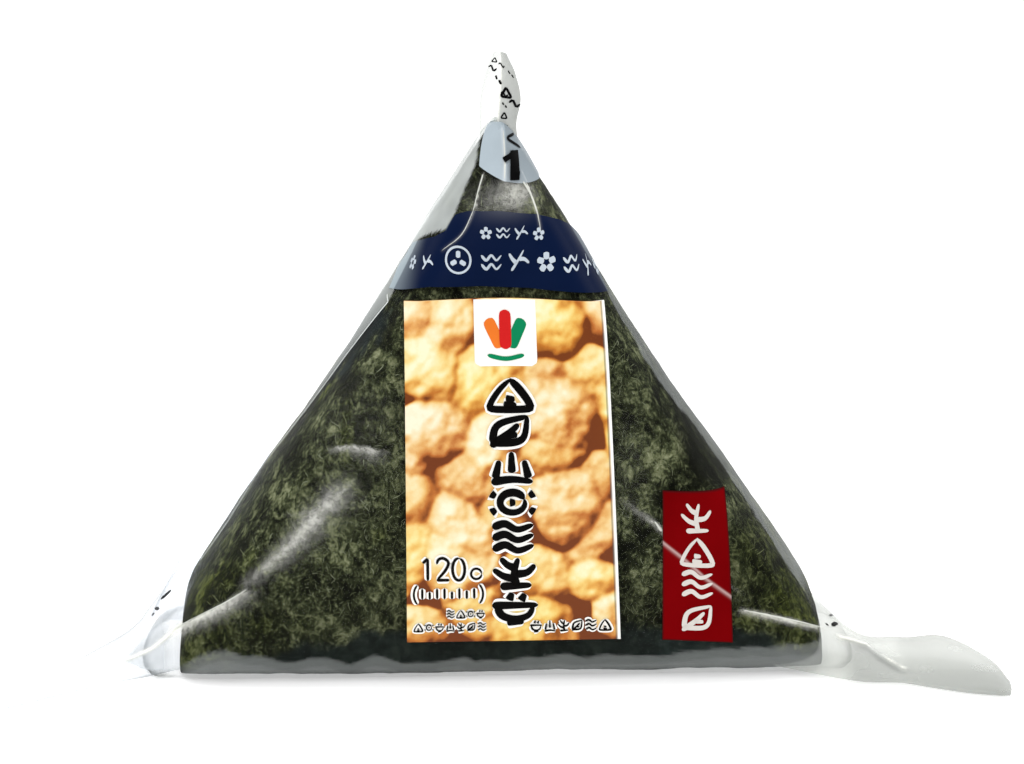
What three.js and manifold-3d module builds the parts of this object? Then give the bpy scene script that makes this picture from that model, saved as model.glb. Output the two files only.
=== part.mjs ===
// A triangular rice ball in a sheet of seaweed, sealed in its clear wrapper.
// It stands on its flat base. Millimetres, +Z up, the printed front faces -Y.
import * as THREE from "three";
import { mergeVertices } from "three/addons/utils/BufferGeometryUtils.js";
import Module from "manifold-3d";

// Driving dimensions of the wrapped body
const APEX = [-0.2, 79.5];
const LEFT_CORNER = [-53.4, -1.6];
const RIGHT_CORNER = [52.9, -1.6];
const CENTRE = [0.5, 27];
const CORNER_SHARPNESS = 26;
const RIM_POWER = 11;
const CROWN_POWER = 2.4;
const BASE_HALF_DEPTH = 19.5;
const APEX_HALF_DEPTH = 5.3;
const WEDGE_HEIGHT = 80;
const WEDGE_POWER = 2.4;
const WAIST_DEPTH = 0.04;
const WAIST_HEIGHT = 48;
const WAIST_SPAN = 16;

// Driving dimensions of the film and the two stickers
const EDGE_THICKNESS = 0.6;
const STICKER_GAP = 0.3;
const STICKER_THICKNESS = 0.35;

const wasm = await Module();
wasm.setup();

// The three sides of the outline, each as an outward normal and its distance from the centre
function outlineSides() {
  const corners = [APEX, LEFT_CORNER, RIGHT_CORNER];
  return corners.map((from, i) => {
    const to = corners[(i + 1) % corners.length];
    const normal = new THREE.Vector2(to[1] - from[1], from[0] - to[0]).normalize();
    const reach = normal.dot(new THREE.Vector2(from[0] - CENTRE[0], from[1] - CENTRE[1]));
    return reach < 0 ? { normal: normal.negate(), reach: -reach } : { normal, reach };
  });
}
const SIDES = outlineSides();

// How far (x, z) is from the centre as a share of the way to the outline: 1 on the outline.
// A high power of the three side distances rounds the corners of the triangle.
function outlineShare(x, z) {
  const total = SIDES.reduce((sum, { normal, reach }) => {
    const share = (normal.x * (x - CENTRE[0]) + normal.y * (z - CENTRE[1])) / reach;
    return sum + Math.max(0, share) ** CORNER_SHARPNESS;
  }, 0);
  return total ** (1 / CORNER_SHARPNESS);
}

// Half the depth at a height: deep at the base, a narrow wedge at the apex
function wedgeHalfDepth(z) {
  const rise = THREE.MathUtils.clamp(z / WEDGE_HEIGHT, 0, 1);
  return APEX_HALF_DEPTH + (BASE_HALF_DEPTH - APEX_HALF_DEPTH) * (1 - rise ** WEDGE_POWER);
}

// The taut film draws the two slopes in a little above the middle, as a share of the width
function waist(z) {
  return 1 - WAIST_DEPTH * Math.exp(-(((z - WAIST_HEIGHT) / WAIST_SPAN) ** 2));
}

// Half the depth at (x, z): crowned in the middle, rounded down to nothing at the outline
function halfDepth(x, z) {
  const share = outlineShare(CENTRE[0] + (x - CENTRE[0]) / waist(z), z);
  return wedgeHalfDepth(z) * Math.max(0, 1 - share ** RIM_POWER) ** (1 / CROWN_POWER);
}

// A closed skin through loops of equal length. Each end is a fan round one point, or a strip
// that joins the two halves of its loop, as at the end of a thin sheet.
function closedSkin(loops, endPoints) {
  const count = loops[0].length;
  const points = loops.flat();
  const faces = [];
  for (let i = 0; i + 1 < loops.length; i += 1) {
    for (let j = 0; j < count; j += 1) {
      const next = (j + 1) % count;
      const [a, b] = [i * count + j, i * count + next];
      const [c, d] = [a + count, b + count];
      faces.push(a, b, d, a, d, c);
    }
  }
  const last = (loops.length - 1) * count;
  if (endPoints) {
    points.push(...endPoints);
    for (let j = 0; j < count; j += 1) {
      const next = (j + 1) % count;
      faces.push(points.length - 2, next, j, points.length - 1, last + j, last + next);
    }
  } else {
    for (let j = 0; j + 1 < count / 2; j += 1) {
      const [p, q] = [count - 1 - j, count - 2 - j];
      faces.push(j, q, j + 1, j, p, q);
      faces.push(last + j, last + j + 1, last + q, last + j, last + q, last + p);
    }
  }
  const geometry = new THREE.BufferGeometry().setFromPoints(points);
  geometry.setIndex(faces);
  return geometry;
}

// A solid ready to be joined to another
function solidOf(geometry) {
  const merged = mergeVertices(geometry, 1e-4);
  const solid = new wasm.Manifold(
    new wasm.Mesh({
      numProp: 3,
      vertProperties: merged.attributes.position.array,
      triVerts: new Uint32Array(merged.index.array),
    }),
  );
  if (solid.volume() > 0) return solid;
  const turned = merged.clone();
  const index = Array.from(turned.index.array);
  for (let i = 0; i < index.length; i += 3) [index[i], index[i + 1]] = [index[i + 1], index[i]];
  turned.setIndex(index);
  return solidOf(turned);
}

// The geometry of a joined solid
function geometryOf(solid) {
  const mesh = solid.getMesh();
  const geometry = new THREE.BufferGeometry();
  geometry.setAttribute("position", new THREE.BufferAttribute(mesh.vertProperties, mesh.numProp));
  geometry.setIndex(new THREE.BufferAttribute(mesh.triVerts, 1));
  geometry.computeVertexNormals();
  return geometry;
}

// Wrapped body: loops of the outline shrink to the middle of the front and of the back face.
// What would lie below the table is pressed flat on it, which makes the base.
const BODY_COLUMNS = 84;
const FACE_SHARES = [0.3, 0.55, 0.72, 0.83, 0.9, 0.945, 0.972, 0.99];

function outlinePoint(angle, share, side) {
  const direction = new THREE.Vector2(Math.cos(angle), Math.sin(angle));
  const unit = outlineShare(CENTRE[0] + direction.x, CENTRE[1] + direction.y);
  const z = CENTRE[1] + (direction.y * share) / unit;
  const x = CENTRE[0] + (waist(z) * direction.x * share) / unit;
  const inside = Math.max(0, 1 - share ** RIM_POWER) ** (1 / CROWN_POWER);
  return new THREE.Vector3(x, side * wedgeHalfDepth(z) * inside, Math.max(0, z));
}

function bodyLoop(share, side) {
  return Array.from({ length: BODY_COLUMNS }, (_, j) =>
    outlinePoint((2 * Math.PI * j) / BODY_COLUMNS, share, side),
  );
}

const bodySkin = closedSkin(
  [
    ...FACE_SHARES.map((share) => bodyLoop(share, -1)),
    bodyLoop(1, 0),
    ...FACE_SHARES.toReversed().map((share) => bodyLoop(share, 1)),
  ],
  [-1, 1].map((side) => new THREE.Vector3(CENTRE[0], side * halfDepth(...CENTRE), CENTRE[1])),
);

// A curved film sheet. Each station across it has a lower edge, a middle and an upper edge, and
// its thickness in the middle. Smooth curves run through the stations from the root to the tip.
const SHEET_STEPS_ALONG = 16;
const SHEET_STEPS_ACROSS = 7;
const SLOPE_STEP = 0.01;

function filmSheet(stations) {
  const rail = (edge) => {
    const points = stations.map((station) => new THREE.Vector3(...station[edge]));
    return new THREE.CatmullRomCurve3(points, false, "catmullrom", 0.5);
  };
  const rails = ["lower", "middle", "upper"].map(rail);
  const last = stations.length - 1;
  const thicknessAt = (a) => {
    const i = Math.min(last - 1, Math.floor(a * last));
    return THREE.MathUtils.lerp(stations[i].thick, stations[i + 1].thick, a * last - i);
  };
  const surface = (a, b) => {
    const [lower, middle, upper] = rails.map((curve) => curve.getPoint(a));
    return lower
      .multiplyScalar((1 - b) * (1 - 2 * b))
      .addScaledVector(middle, 4 * b * (1 - b))
      .addScaledVector(upper, b * (2 * b - 1));
  };
  const [before, after] = [(t) => Math.max(0, t - SLOPE_STEP), (t) => Math.min(1, t + SLOPE_STEP)];
  const skinPoint = (a, b, side) => {
    const along = surface(after(a), b).sub(surface(before(a), b));
    const across = surface(a, after(b)).sub(surface(a, before(b)));
    const bulge = Math.max(0, thicknessAt(a) - EDGE_THICKNESS) * Math.sin(Math.PI * b);
    const lift = (side * (EDGE_THICKNESS + bulge)) / 2;
    return surface(a, b).addScaledVector(along.cross(across).normalize(), lift);
  };
  const across = Array.from({ length: SHEET_STEPS_ACROSS + 1 }, (_, j) => j / SHEET_STEPS_ACROSS);
  const loops = Array.from({ length: SHEET_STEPS_ALONG + 1 }, (_, i) => {
    const a = i / SHEET_STEPS_ALONG;
    return [
      ...across.map((b) => skinPoint(a, b, 1)),
      ...across.toReversed().map((b) => skinPoint(a, b, -1)),
    ];
  });
  return closedSkin(loops);
}

// Left ear: the film of the corner gathers at a pinch and flares into a long flat leaf.
// Its stations are the root in the body, the corner, the pinch, the belly and the tip.
const leftEar = filmSheet([
  { lower: [-40, -13, 2.4], middle: [-40, -5, 9], upper: [-40, 3, 15], thick: 6 },
  { lower: [-49.6, -14.7, 0.9], middle: [-49.6, -11, 4.5], upper: [-50.4, 0, 7], thick: 1.8 },
  { lower: [-54, -16.4, 0.6], middle: [-54, -13, 2.4], upper: [-53.6, -3.5, 4], thick: 0.9 },
  { lower: [-61.4, -20.8, 0.5], middle: [-61.2, -17, 1.3], upper: [-60.5, -11, 2], thick: 0.8 },
  { lower: [-69, -26.9, 0.5], middle: [-69.1, -26.6, 0.5], upper: [-69.2, -26.2, 0.5], thick: 0.6 },
]);

// Left fin: the same film stands out from the side edge above the ear
const leftFin = filmSheet([
  { lower: [-33, 0, 29.6], middle: [-34.4, 0, 29.4], upper: [-35.8, 0, 29.3], thick: 0.6 },
  { lower: [-37.6, 0, 20.2], middle: [-39.9, 0, 20.2], upper: [-42.1, 0, 20.2], thick: 0.6 },
  { lower: [-40.4, 0, 14], middle: [-42.7, 0, 14.6], upper: [-45, 0, 15.3], thick: 0.6 },
  { lower: [-43, -1, 4], middle: [-47, -1, 4.5], upper: [-51, -1, 5.2], thick: 0.6 },
]);

// Right ear: shorter, with its leaf cupped like a spoon.
// Its stations are the root in the body, the corner, the pinch, the belly, the shoulder, the tip.
const rightEar = filmSheet([
  { lower: [38, -14.6, 2.8], middle: [38, -7, 10], upper: [38, 2, 16], thick: 6 },
  { lower: [49.6, -18.5, 0.9], middle: [49.4, -15, 4.2], upper: [50.2, -5.5, 3.8], thick: 1.8 },
  { lower: [56.6, -21, 0.5], middle: [56.9, -18, 1.7], upper: [57.7, -8.2, 2.4], thick: 0.8 },
  { lower: [64, -25.3, 0.5], middle: [64.2, -18.6, 1.1], upper: [64.2, -9, 3.1], thick: 0.8 },
  { lower: [68.6, -26.9, 0.5], middle: [69.2, -21.5, 0.9], upper: [69.8, -15.2, 1.6], thick: 0.7 },
  { lower: [70.6, -27, 0.5], middle: [71.2, -24.8, 0.5], upper: [71.4, -21.8, 0.6], thick: 0.6 },
]);

// Pull tab: the end of the tear strip stands up from the apex, curled and half turned
const pullTab = filmSheet([
  { lower: [-2.4, 0, 73.5], middle: [0.2, -1.6, 73.5], upper: [2.8, 0, 73.5], thick: 1.6 },
  { lower: [-2.6, 0, 77.6], middle: [0, -1.7, 77.5], upper: [2.4, -0.1, 77.3], thick: 0.8 },
  { lower: [-2.3, 1, 81.6], middle: [0.3, -1.4, 81.4], upper: [3, -1, 81], thick: 0.6 },
  { lower: [-1.4, 1, 85.2], middle: [0.5, -0.6, 85.1], upper: [2.3, -1.3, 84.6], thick: 0.6 },
  { lower: [-0.6, 0.6, 87.4], middle: [0.3, 0, 87.5], upper: [1, -0.6, 87.3], thick: 0.6 },
]);

// A sticker lies on the front face. Its corners are given in the X-Z plane, lower edge first.
function sticker([lowerLeft, lowerRight, upperRight, upperLeft], columns, rows) {
  const place = (u, v, lift) => {
    const lower = new THREE.Vector2(...lowerLeft).lerp(new THREE.Vector2(...lowerRight), u);
    const upper = new THREE.Vector2(...upperLeft).lerp(new THREE.Vector2(...upperRight), u);
    const { x, y: z } = lower.lerp(upper, v);
    return new THREE.Vector3(x, -halfDepth(x, z) - lift, z);
  };
  const loops = Array.from({ length: rows + 1 }, (_, i) => {
    const across = Array.from({ length: columns + 1 }, (_, j) => j / columns);
    return [
      ...across.map((u) => place(u, i / rows, STICKER_GAP + STICKER_THICKNESS)),
      ...across.toReversed().map((u) => place(u, i / rows, STICKER_GAP)),
    ];
  });
  return geometryOf(solidOf(closedSkin(loops)));
}

// Front label: an upright printed sticker in the middle of the front face
const frontLabel = sticker([[-13.7, 7], [16.4, 7.1], [14.4, 54.9], [-13.7, 54.7]], 12, 16);

// Red label: a small upright sticker by the lower right corner
const redLabel = sticker([[22.3, 6.9], [32.3, 6.3], [31.3, 27.7], [22.2, 28.4]], 5, 9);

// The film pack is one sealed body: the wrapped rice ball, both ears, the fin and the pull tab
const filmPack = [leftEar, leftFin, rightEar, pullTab].reduce(
  (joined, piece) => joined.add(solidOf(piece)),
  solidOf(bodySkin),
);

function named(name, geometry, color) {
  const mesh = new THREE.Mesh(geometry, new THREE.MeshStandardMaterial({ color }));
  mesh.name = name;
  return mesh;
}

const part = new THREE.Group();
part.name = "wrapped_rice_ball";
part.add(named("film_pack", geometryOf(filmPack), 0x3c4134));
part.add(named("front_label", frontLabel, 0xf5df98));
part.add(named("red_label", redLabel, 0x7f1b1a));

export default part;
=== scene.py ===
import bpy
import numpy as np
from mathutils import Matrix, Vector


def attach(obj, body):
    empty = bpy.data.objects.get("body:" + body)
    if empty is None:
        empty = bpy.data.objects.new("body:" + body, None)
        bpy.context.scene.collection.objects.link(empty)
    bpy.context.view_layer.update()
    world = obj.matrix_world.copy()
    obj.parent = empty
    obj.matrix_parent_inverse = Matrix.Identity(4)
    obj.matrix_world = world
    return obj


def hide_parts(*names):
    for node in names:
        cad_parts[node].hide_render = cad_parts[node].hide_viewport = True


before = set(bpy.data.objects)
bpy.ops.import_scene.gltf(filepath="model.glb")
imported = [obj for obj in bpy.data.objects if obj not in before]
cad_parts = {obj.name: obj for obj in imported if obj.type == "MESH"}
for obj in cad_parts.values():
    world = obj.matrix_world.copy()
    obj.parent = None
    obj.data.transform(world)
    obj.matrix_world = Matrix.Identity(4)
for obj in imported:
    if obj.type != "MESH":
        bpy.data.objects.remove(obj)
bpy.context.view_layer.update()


# Rice ball in its seaweed sheet
# The pressed rice is wrapped all over in one dry, dark green sheet of pressed seaweed. The sheet
# is thin and brittle, so it is crinkled, mottled, and ragged along its lower edge.
MM = 0.001
apex, left_corner, right_corner = (-0.2, 79.5), (-53.4, -1.6), (52.9, -1.6)
centre = np.array([0.5, 27.0])
rim_power, crown_power = 11, 2.4
base_half_depth, apex_half_depth, full_height = 19.5, 5.3, 80


def outline_sides():
    """The outward normals of the triangle's three sides, and their distances from the centre."""
    corners = np.array([apex, left_corner, right_corner])
    edges = np.roll(corners, -1, axis=0) - corners
    normals = np.stack([-edges[:, 1], edges[:, 0]], -1) / np.linalg.norm(edges, axis=1)[:, None]
    reaches = np.sum(normals * (corners - centre), -1)
    return normals * np.sign(reaches)[:, None], np.abs(reaches)


def waist(z):
    """1 less a bell curve of 4% around z = 48 mm, 16 mm wide: how far the slopes are drawn in."""
    return 1 - 0.04 * np.exp(-(((z - 48) / 16) ** 2))


def outline_share(x, z, sharpness=26.0):
    """Distance from the centre over the distance to the outline: the power mean, without the
    division, of the three side distances. A high power gives sharp corners."""
    normals, reaches = outline_sides()
    offsets = np.stack([x - centre[0], z - centre[1]], -1)
    shares = np.maximum(offsets @ normals.T / reaches, 1e-6)
    power = np.asarray(sharpness)[..., None]
    return np.sum(shares**power, -1) ** (1 / power[..., 0])


def wedge_half_depth(z):
    """Half the depth at height z: from the base value down to the apex value, as the height to
    the power 2.4."""
    rise = np.clip(z / full_height, 0, 1) ** 2.4
    return apex_half_depth + (base_half_depth - apex_half_depth) * (1 - rise)


def half_depth(x, z):
    """Half the depth of the wrapper at (x, z): the wedge times (1 - share^11)^(1/2.4)."""
    share = outline_share(centre[0] + (x - centre[0]) / waist(z), z)
    return wedge_half_depth(z) * np.maximum(0, 1 - share**rim_power) ** (1 / crown_power)


def wrapped_form(rows, columns, sharpness):
    """Loops of the outline that shrink to the middle of the front face and of the back face,
    evenly spaced along the outline and along a section from face to face.
    sharpness(angle) gives the corners. Returns an array rows x columns x 3."""
    fine, half_size, half_thick = 4001, 30, 18
    dense = np.linspace(0, 2 * np.pi, fine)
    unit = outline_share(centre[0] + np.cos(dense), centre[1] + np.sin(dense), sharpness(dense))
    length = np.concatenate([[0], np.cumsum(np.hypot(
        np.diff(np.cos(dense) / unit), np.diff(np.sin(dense) / unit)))])
    angle = np.interp(np.arange(columns) / columns * length[-1], length, dense)
    turn = np.linspace(0, np.pi, fine)
    share = np.sin(turn) ** (2 / rim_power)
    level = -np.sign(np.cos(turn)) * np.abs(np.cos(turn)) ** (2 / crown_power)
    length = np.concatenate([[0], np.cumsum(np.hypot(half_size * np.diff(share),
                                                     half_thick * np.diff(level)))])
    place = np.interp((np.arange(rows) + 0.5) / rows * length[-1], length, turn)
    share = np.interp(place, turn, share)[:, None]
    level = np.interp(place, turn, level)[:, None]
    direction = np.stack([np.cos(angle), np.sin(angle)], -1)
    unit = outline_share(centre[0] + direction[:, 0], centre[1] + direction[:, 1],
                         sharpness(angle))
    z = centre[1] + share * direction[:, 1] / unit
    x = centre[0] + waist(z) * share * direction[:, 0] / unit
    y = level * wedge_half_depth(z)
    return np.stack([x, y, z], -1)


def normals_of(grid, closed):
    """Unit normals of a grid of points: the cross product of its two central differences."""
    padded = np.concatenate([grid[:, -1:], grid, grid[:, :1]], 1) if closed else grid
    across = np.gradient(padded, axis=1)
    across = across[:, 1:-1] if closed else across
    normal = np.cross(np.gradient(grid, axis=0), across)
    return normal / np.maximum(np.linalg.norm(normal, axis=-1, keepdims=True), 1e-9)


def crumple(points, size, seed):
    """Smooth random heights from -1 to 1: random values on a cubic lattice whose cells have the
    given size, blended by a smoothstep between the eight corners of each cell."""
    cells = 24
    lattice = np.random.default_rng(seed).uniform(-1, 1, (cells, cells, cells))
    place = points / size
    cell = np.floor(place).astype(int)
    blend = place - cell
    blend = blend * blend * (3 - 2 * blend)
    height = np.zeros(points.shape[:-1])
    for corner in np.ndindex(2, 2, 2):
        weight = np.prod(np.where(corner, blend, 1 - blend), -1)
        height += weight * lattice[tuple(((cell + corner) % cells)[..., k] for k in range(3))]
    return height


def piece_from(name, points, faces, shades=None):
    """A smooth mesh object at the origin from points in millimetres, with named point values."""
    mesh = bpy.data.meshes.new(name)
    mesh.from_pydata((points.reshape(-1, 3) * MM).tolist(), [], faces.tolist()
                     if isinstance(faces, np.ndarray) else faces)
    mesh.polygons.foreach_set("use_smooth", np.ones(len(mesh.polygons), bool))
    for key, values in (shades or {}).items():
        layer = mesh.attributes.new(key, "FLOAT", "POINT")
        layer.data.foreach_set("value", np.ravel(values).astype(np.float32))
    piece = bpy.data.objects.new(name, mesh)
    bpy.context.scene.collection.objects.link(piece)
    return piece


def loop_faces(rows, count):
    """Four-sided faces between neighbouring loops of count points each."""
    row, column = np.meshgrid(np.arange(rows - 1), np.arange(count), indexing="ij")
    first, second = row * count + column, row * count + (column + 1) % count
    return np.stack([first, first + count, second + count, second], -1).reshape(-1, 4)


def closed_piece(name, grid, shades):
    """A closed form of loops, with a fan round a pole in the middle of its first loop and of its
    last one. The named values are 0 at both poles."""
    rows, columns = grid.shape[:2]
    ring = np.arange(columns)
    following = (ring + 1) % columns
    front = np.stack([np.full(columns, rows * columns), ring, following], -1)
    last = (rows - 1) * columns
    back = np.stack([np.full(columns, rows * columns + 1), last + following, last + ring], -1)
    poles = np.array([grid[0].mean(0), grid[-1].mean(0)])
    return piece_from(name, np.concatenate([grid.reshape(-1, 3), poles]),
                      loop_faces(rows, columns).tolist() + front.tolist() + back.tolist(),
                      {key: np.append(values, [0, 0]) for key, values in shades.items()})


def paint(red, green, blue, alpha=1.0):
    """A colour given as it looks on screen, 0 to 255, as linear values."""
    seen = np.array([red, green, blue]) / 255
    linear = np.where(seen > 0.04045, ((seen + 0.055) / 1.055) ** 2.4, seen / 12.92)
    return (*linear.tolist(), alpha)


class Finish:
    """A node material under construction: add() makes a node with its settings and inputs, and
    an input that is another node's output is linked."""

    def __init__(self, name):
        self.material = bpy.data.materials.new(name)
        self.material.use_nodes = True
        self.tree = self.material.node_tree
        self.tree.nodes.clear()

    def add(self, kind, inputs=(), **settings):
        node = self.tree.nodes.new("ShaderNode" + kind)
        for key, value in settings.items():
            setattr(node, key, value)
        for key, value in dict(inputs).items():
            if isinstance(value, bpy.types.NodeSocket):
                self.tree.links.new(value, node.inputs[key])
            else:
                node.inputs[key].default_value = value
        return node

    def value(self, key):
        return self.add("Attribute", attribute_name=key).outputs["Fac"]

    def place(self):
        return self.add("TexCoord").outputs["Object"]

    def noise(self, place, scale, detail, roughness=0.5, distortion=0.0, output="Fac"):
        return self.add("TexNoise", {
            "Vector": place, "Scale": scale, "Detail": detail, "Roughness": roughness,
            "Distortion": distortion}).outputs[output]

    def math(self, operation, *terms, **settings):
        return self.add("Math", dict(enumerate(terms)), operation=operation,
                        **settings).outputs[0]

    def mix(self, factor, first, second):
        return self.add("Mix", {"Factor": factor, "A": first, "B": second},
                        data_type="RGBA").outputs["Result"]

    def ramp(self, factor, stops):
        node = self.add("ValToRGB", {"Fac": factor})
        band = node.color_ramp
        while len(band.elements) < len(stops):
            band.elements.new(0.5)
        for element, (place, colour) in zip(band.elements, stops):
            element.position = place
            element.color = colour
        return node.outputs["Color"]

    def close(self, shader, piece):
        self.add("OutputMaterial", {"Surface": shader})
        piece.data.materials.clear()
        piece.data.materials.append(self.material)


def rounded_low(angle):
    """Corner power 13 at the lower corners, growing to 22 at the apex."""
    return 13 + 9 * np.clip(np.sin(angle), 0, 1) ** 2


def sheet_offset(points, outward):
    """How far the sheet's surface lies outside the wrapped form: its crinkles of 7, 2.6 and
    0.9 mm, less the inset of 0.95 mm in front, both less marked where the sheet turns away."""
    facing = np.abs(outward[..., 1])
    crinkle = (0.28 * crumple(points, 7.0, 1) + 0.16 * crumple(points, 2.6, 2)
               + 0.09 * crumple(points, 0.9, 3))
    return crinkle * (0.35 + 0.65 * facing) - 0.4 - 0.55 * facing


seaweed_rows, seaweed_columns = 200, 420
sheet = wrapped_form(seaweed_rows, seaweed_columns, rounded_low)
# both lower corners of the sheet are folded in, so that its edges stand upright there
fold_from, fold_reach = 44, 2.6
beyond = np.maximum(np.abs(sheet[..., 0]) - fold_from, 0)
sheet[..., 0] -= np.sign(sheet[..., 0]) * (beyond - fold_reach * np.tanh(beyond / fold_reach))
outward = normals_of(sheet, closed=True)
sheet = sheet + outward * sheet_offset(sheet, outward)[..., None]
sheet_foot = 0.35
sheet[..., 2] = np.maximum(sheet[..., 2], sheet_foot)


def sheet_tints(points):
    """How green, how slate-shaded and how dim the sheet is: green near both lower corners and in
    scattered patches; painted shade of smooth dark slate where it turns round the left slope and
    low down in front; dim with painted shade from the film's edge along the right slope and low
    down on both sides."""
    x, z = points[..., 0], points[..., 2]
    corner = np.minimum(np.hypot((x + 49) / 1.5, z - 10), np.hypot((x - 45) / 1.4, z - 12)) / 11
    green = np.clip(1.25 - corner + 0.5 * crumple(points, 3.1, 4), 0, 1)
    green = np.maximum(green, np.clip(2.6 * crumple(points * [1, 1, 0.6], 4.4, 5) - 1.4, 0, 0.8))
    ragged = crumple(points, 2.2, 6) + 0.6 * crumple(points, 0.9, 7)
    edge = np.interp(z, [6, 12, 15, 20, 25, 31, 41, 50, 57, 66, 76],
                     [58, 55, 47, 42, 39, 33.4, 23.5, 15.5, 15, 11, 6])
    slope = np.clip((-x - edge + 1.2 * ragged) / 1.2, 0, 1)
    low = np.interp(x, [-46, -34, -20, 0, 30, 38, 44], [2.5, 5.0, 9.0, 9.5, 9.5, 6.5, 4.0])
    base = np.clip((low + 1.3 * ragged - z) / 1.6, 0, 1)
    shadow = np.interp(z, [20, 27, 28, 34, 44, 56, 60], [60, 40, 25, 25, 20.5, 14, 60])
    dim = np.clip((x - shadow + 1.2 * ragged) / 1.2, 0, 1)
    dim = np.maximum(dim, 0.55 * np.clip((17 - z + ragged) / 8, 0, 1) * (x > -46) * (x < 22))
    dim = np.maximum(dim, 0.36 * np.clip((x - 29 + ragged) / 4, 0, 1) * (z < 24))
    return green * (1 - 0.6 * dim), np.maximum(slope, 0.95 * base), dim


greener, slate_shade, dim = sheet_tints(sheet)
seaweed = closed_piece("seaweed_wrapped_rice", sheet,
                       {"greener": greener, "slate_shade": slate_shade, "dim": dim})

nori = Finish("pressed_seaweed")
place = nori.place()
stretch = nori.add("Mapping", {"Vector": place, "Scale": (1.0, 1.0, 0.75)}).outputs["Vector"]
patches = nori.noise(place, 170.0, 3.0, 0.6, 0.5)
flakes = nori.noise(stretch, 800.0, 3.5, 0.66, 1.0)
jog = nori.noise(place, 600.0, 3.0, output="Color")
jog = nori.add("VectorMath", {0: jog, 1: (0.003, 0.003, 0.003)}, operation="MULTIPLY").outputs[0]
jog = nori.add("VectorMath", {0: jog, 1: place}, operation="ADD").outputs[0]
plates = nori.add("TexVoronoi", {"Vector": jog, "Scale": 430.0}).outputs["Color"]
grain = nori.noise(place, 2400.0, 1.5)
mottle = nori.math("MULTIPLY", flakes, 0.6)
for layer, strength in ((patches, 0.4), (plates, 0.1), (grain, 0.22)):
    mottle = nori.math("MULTIPLY_ADD", layer, strength, mottle)
mottle = nori.math("SUBTRACT", mottle, 0.16)
brown = nori.ramp(mottle, [
    (0.38, paint(12, 14, 8)), (0.46, paint(28, 31, 19)), (0.53, paint(52, 57, 38)),
    (0.60, paint(92, 97, 69)), (0.70, paint(130, 134, 104))])
green = nori.ramp(mottle, [
    (0.38, paint(11, 14, 2)), (0.46, paint(23, 28, 5)), (0.54, paint(45, 52, 12)),
    (0.62, paint(80, 88, 26)), (0.72, paint(112, 120, 50))])
# Painted shade: where the sheet is slate-shaded it takes this smooth dark slate in place of its own
# tone, and smooth drops its bump there.
slate_shade_tone = nori.ramp(mottle, [(0.42, paint(22, 28, 27)), (0.58, paint(33, 41, 40))])
smooth = nori.value("slate_shade")
tone = nori.mix(smooth, nori.mix(nori.value("greener"), brown, green), slate_shade_tone)
# Painted shade: darker towards near-black where the sheet is dim.
tone = nori.mix(nori.math("MULTIPLY", nori.value("dim"), 0.72), tone, paint(12, 14, 7))
relief = nori.math("SUBTRACT", 1.0, smooth, use_clamp=True)
bump = nori.add("Bump", {"Height": mottle, "Strength": relief, "Distance": 0.0002}).outputs["Normal"]
surface = nori.add("BsdfPrincipled", {
    "Base Color": tone, "Roughness": 0.6, "Normal": bump, "Specular IOR Level": 0.03})
nori.close(surface.outputs["BSDF"], seaweed)
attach(seaweed, "root")


# Fibres of the seaweed
# The dried sheet is a mat of fine seaweed threads. On its surface the outermost of them lie loose
# and pale, short and curled, denser in some places than in others.
def seaweed_face(x, z, side):
    """The sheet's surface on the front (side -1) or the back (side 1) at (x, z), moved 0.03 mm
    outwards: the wrapped form there, its normal by central differences, and the offset."""
    def base(u, w):
        angle = np.arctan2(w - centre[1], u - centre[0])
        share = outline_share(centre[0] + (u - centre[0]) / waist(w), w, rounded_low(angle))
        depth = wedge_half_depth(w) * np.maximum(0, 1 - share**rim_power) ** (1 / crown_power)
        return np.stack([u, side * depth, w], -1)
    spot = base(x, z)
    normal = np.cross(base(x + 0.2, z) - base(x - 0.2, z), base(x, z + 0.2) - base(x, z - 0.2))
    normal /= np.maximum(np.linalg.norm(normal, axis=-1, keepdims=True), 1e-9)
    normal *= np.where(normal[..., 1:2] * side < 0, -1, 1)
    return spot + normal * (sheet_offset(spot, normal) + 0.03)[..., None]


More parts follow.
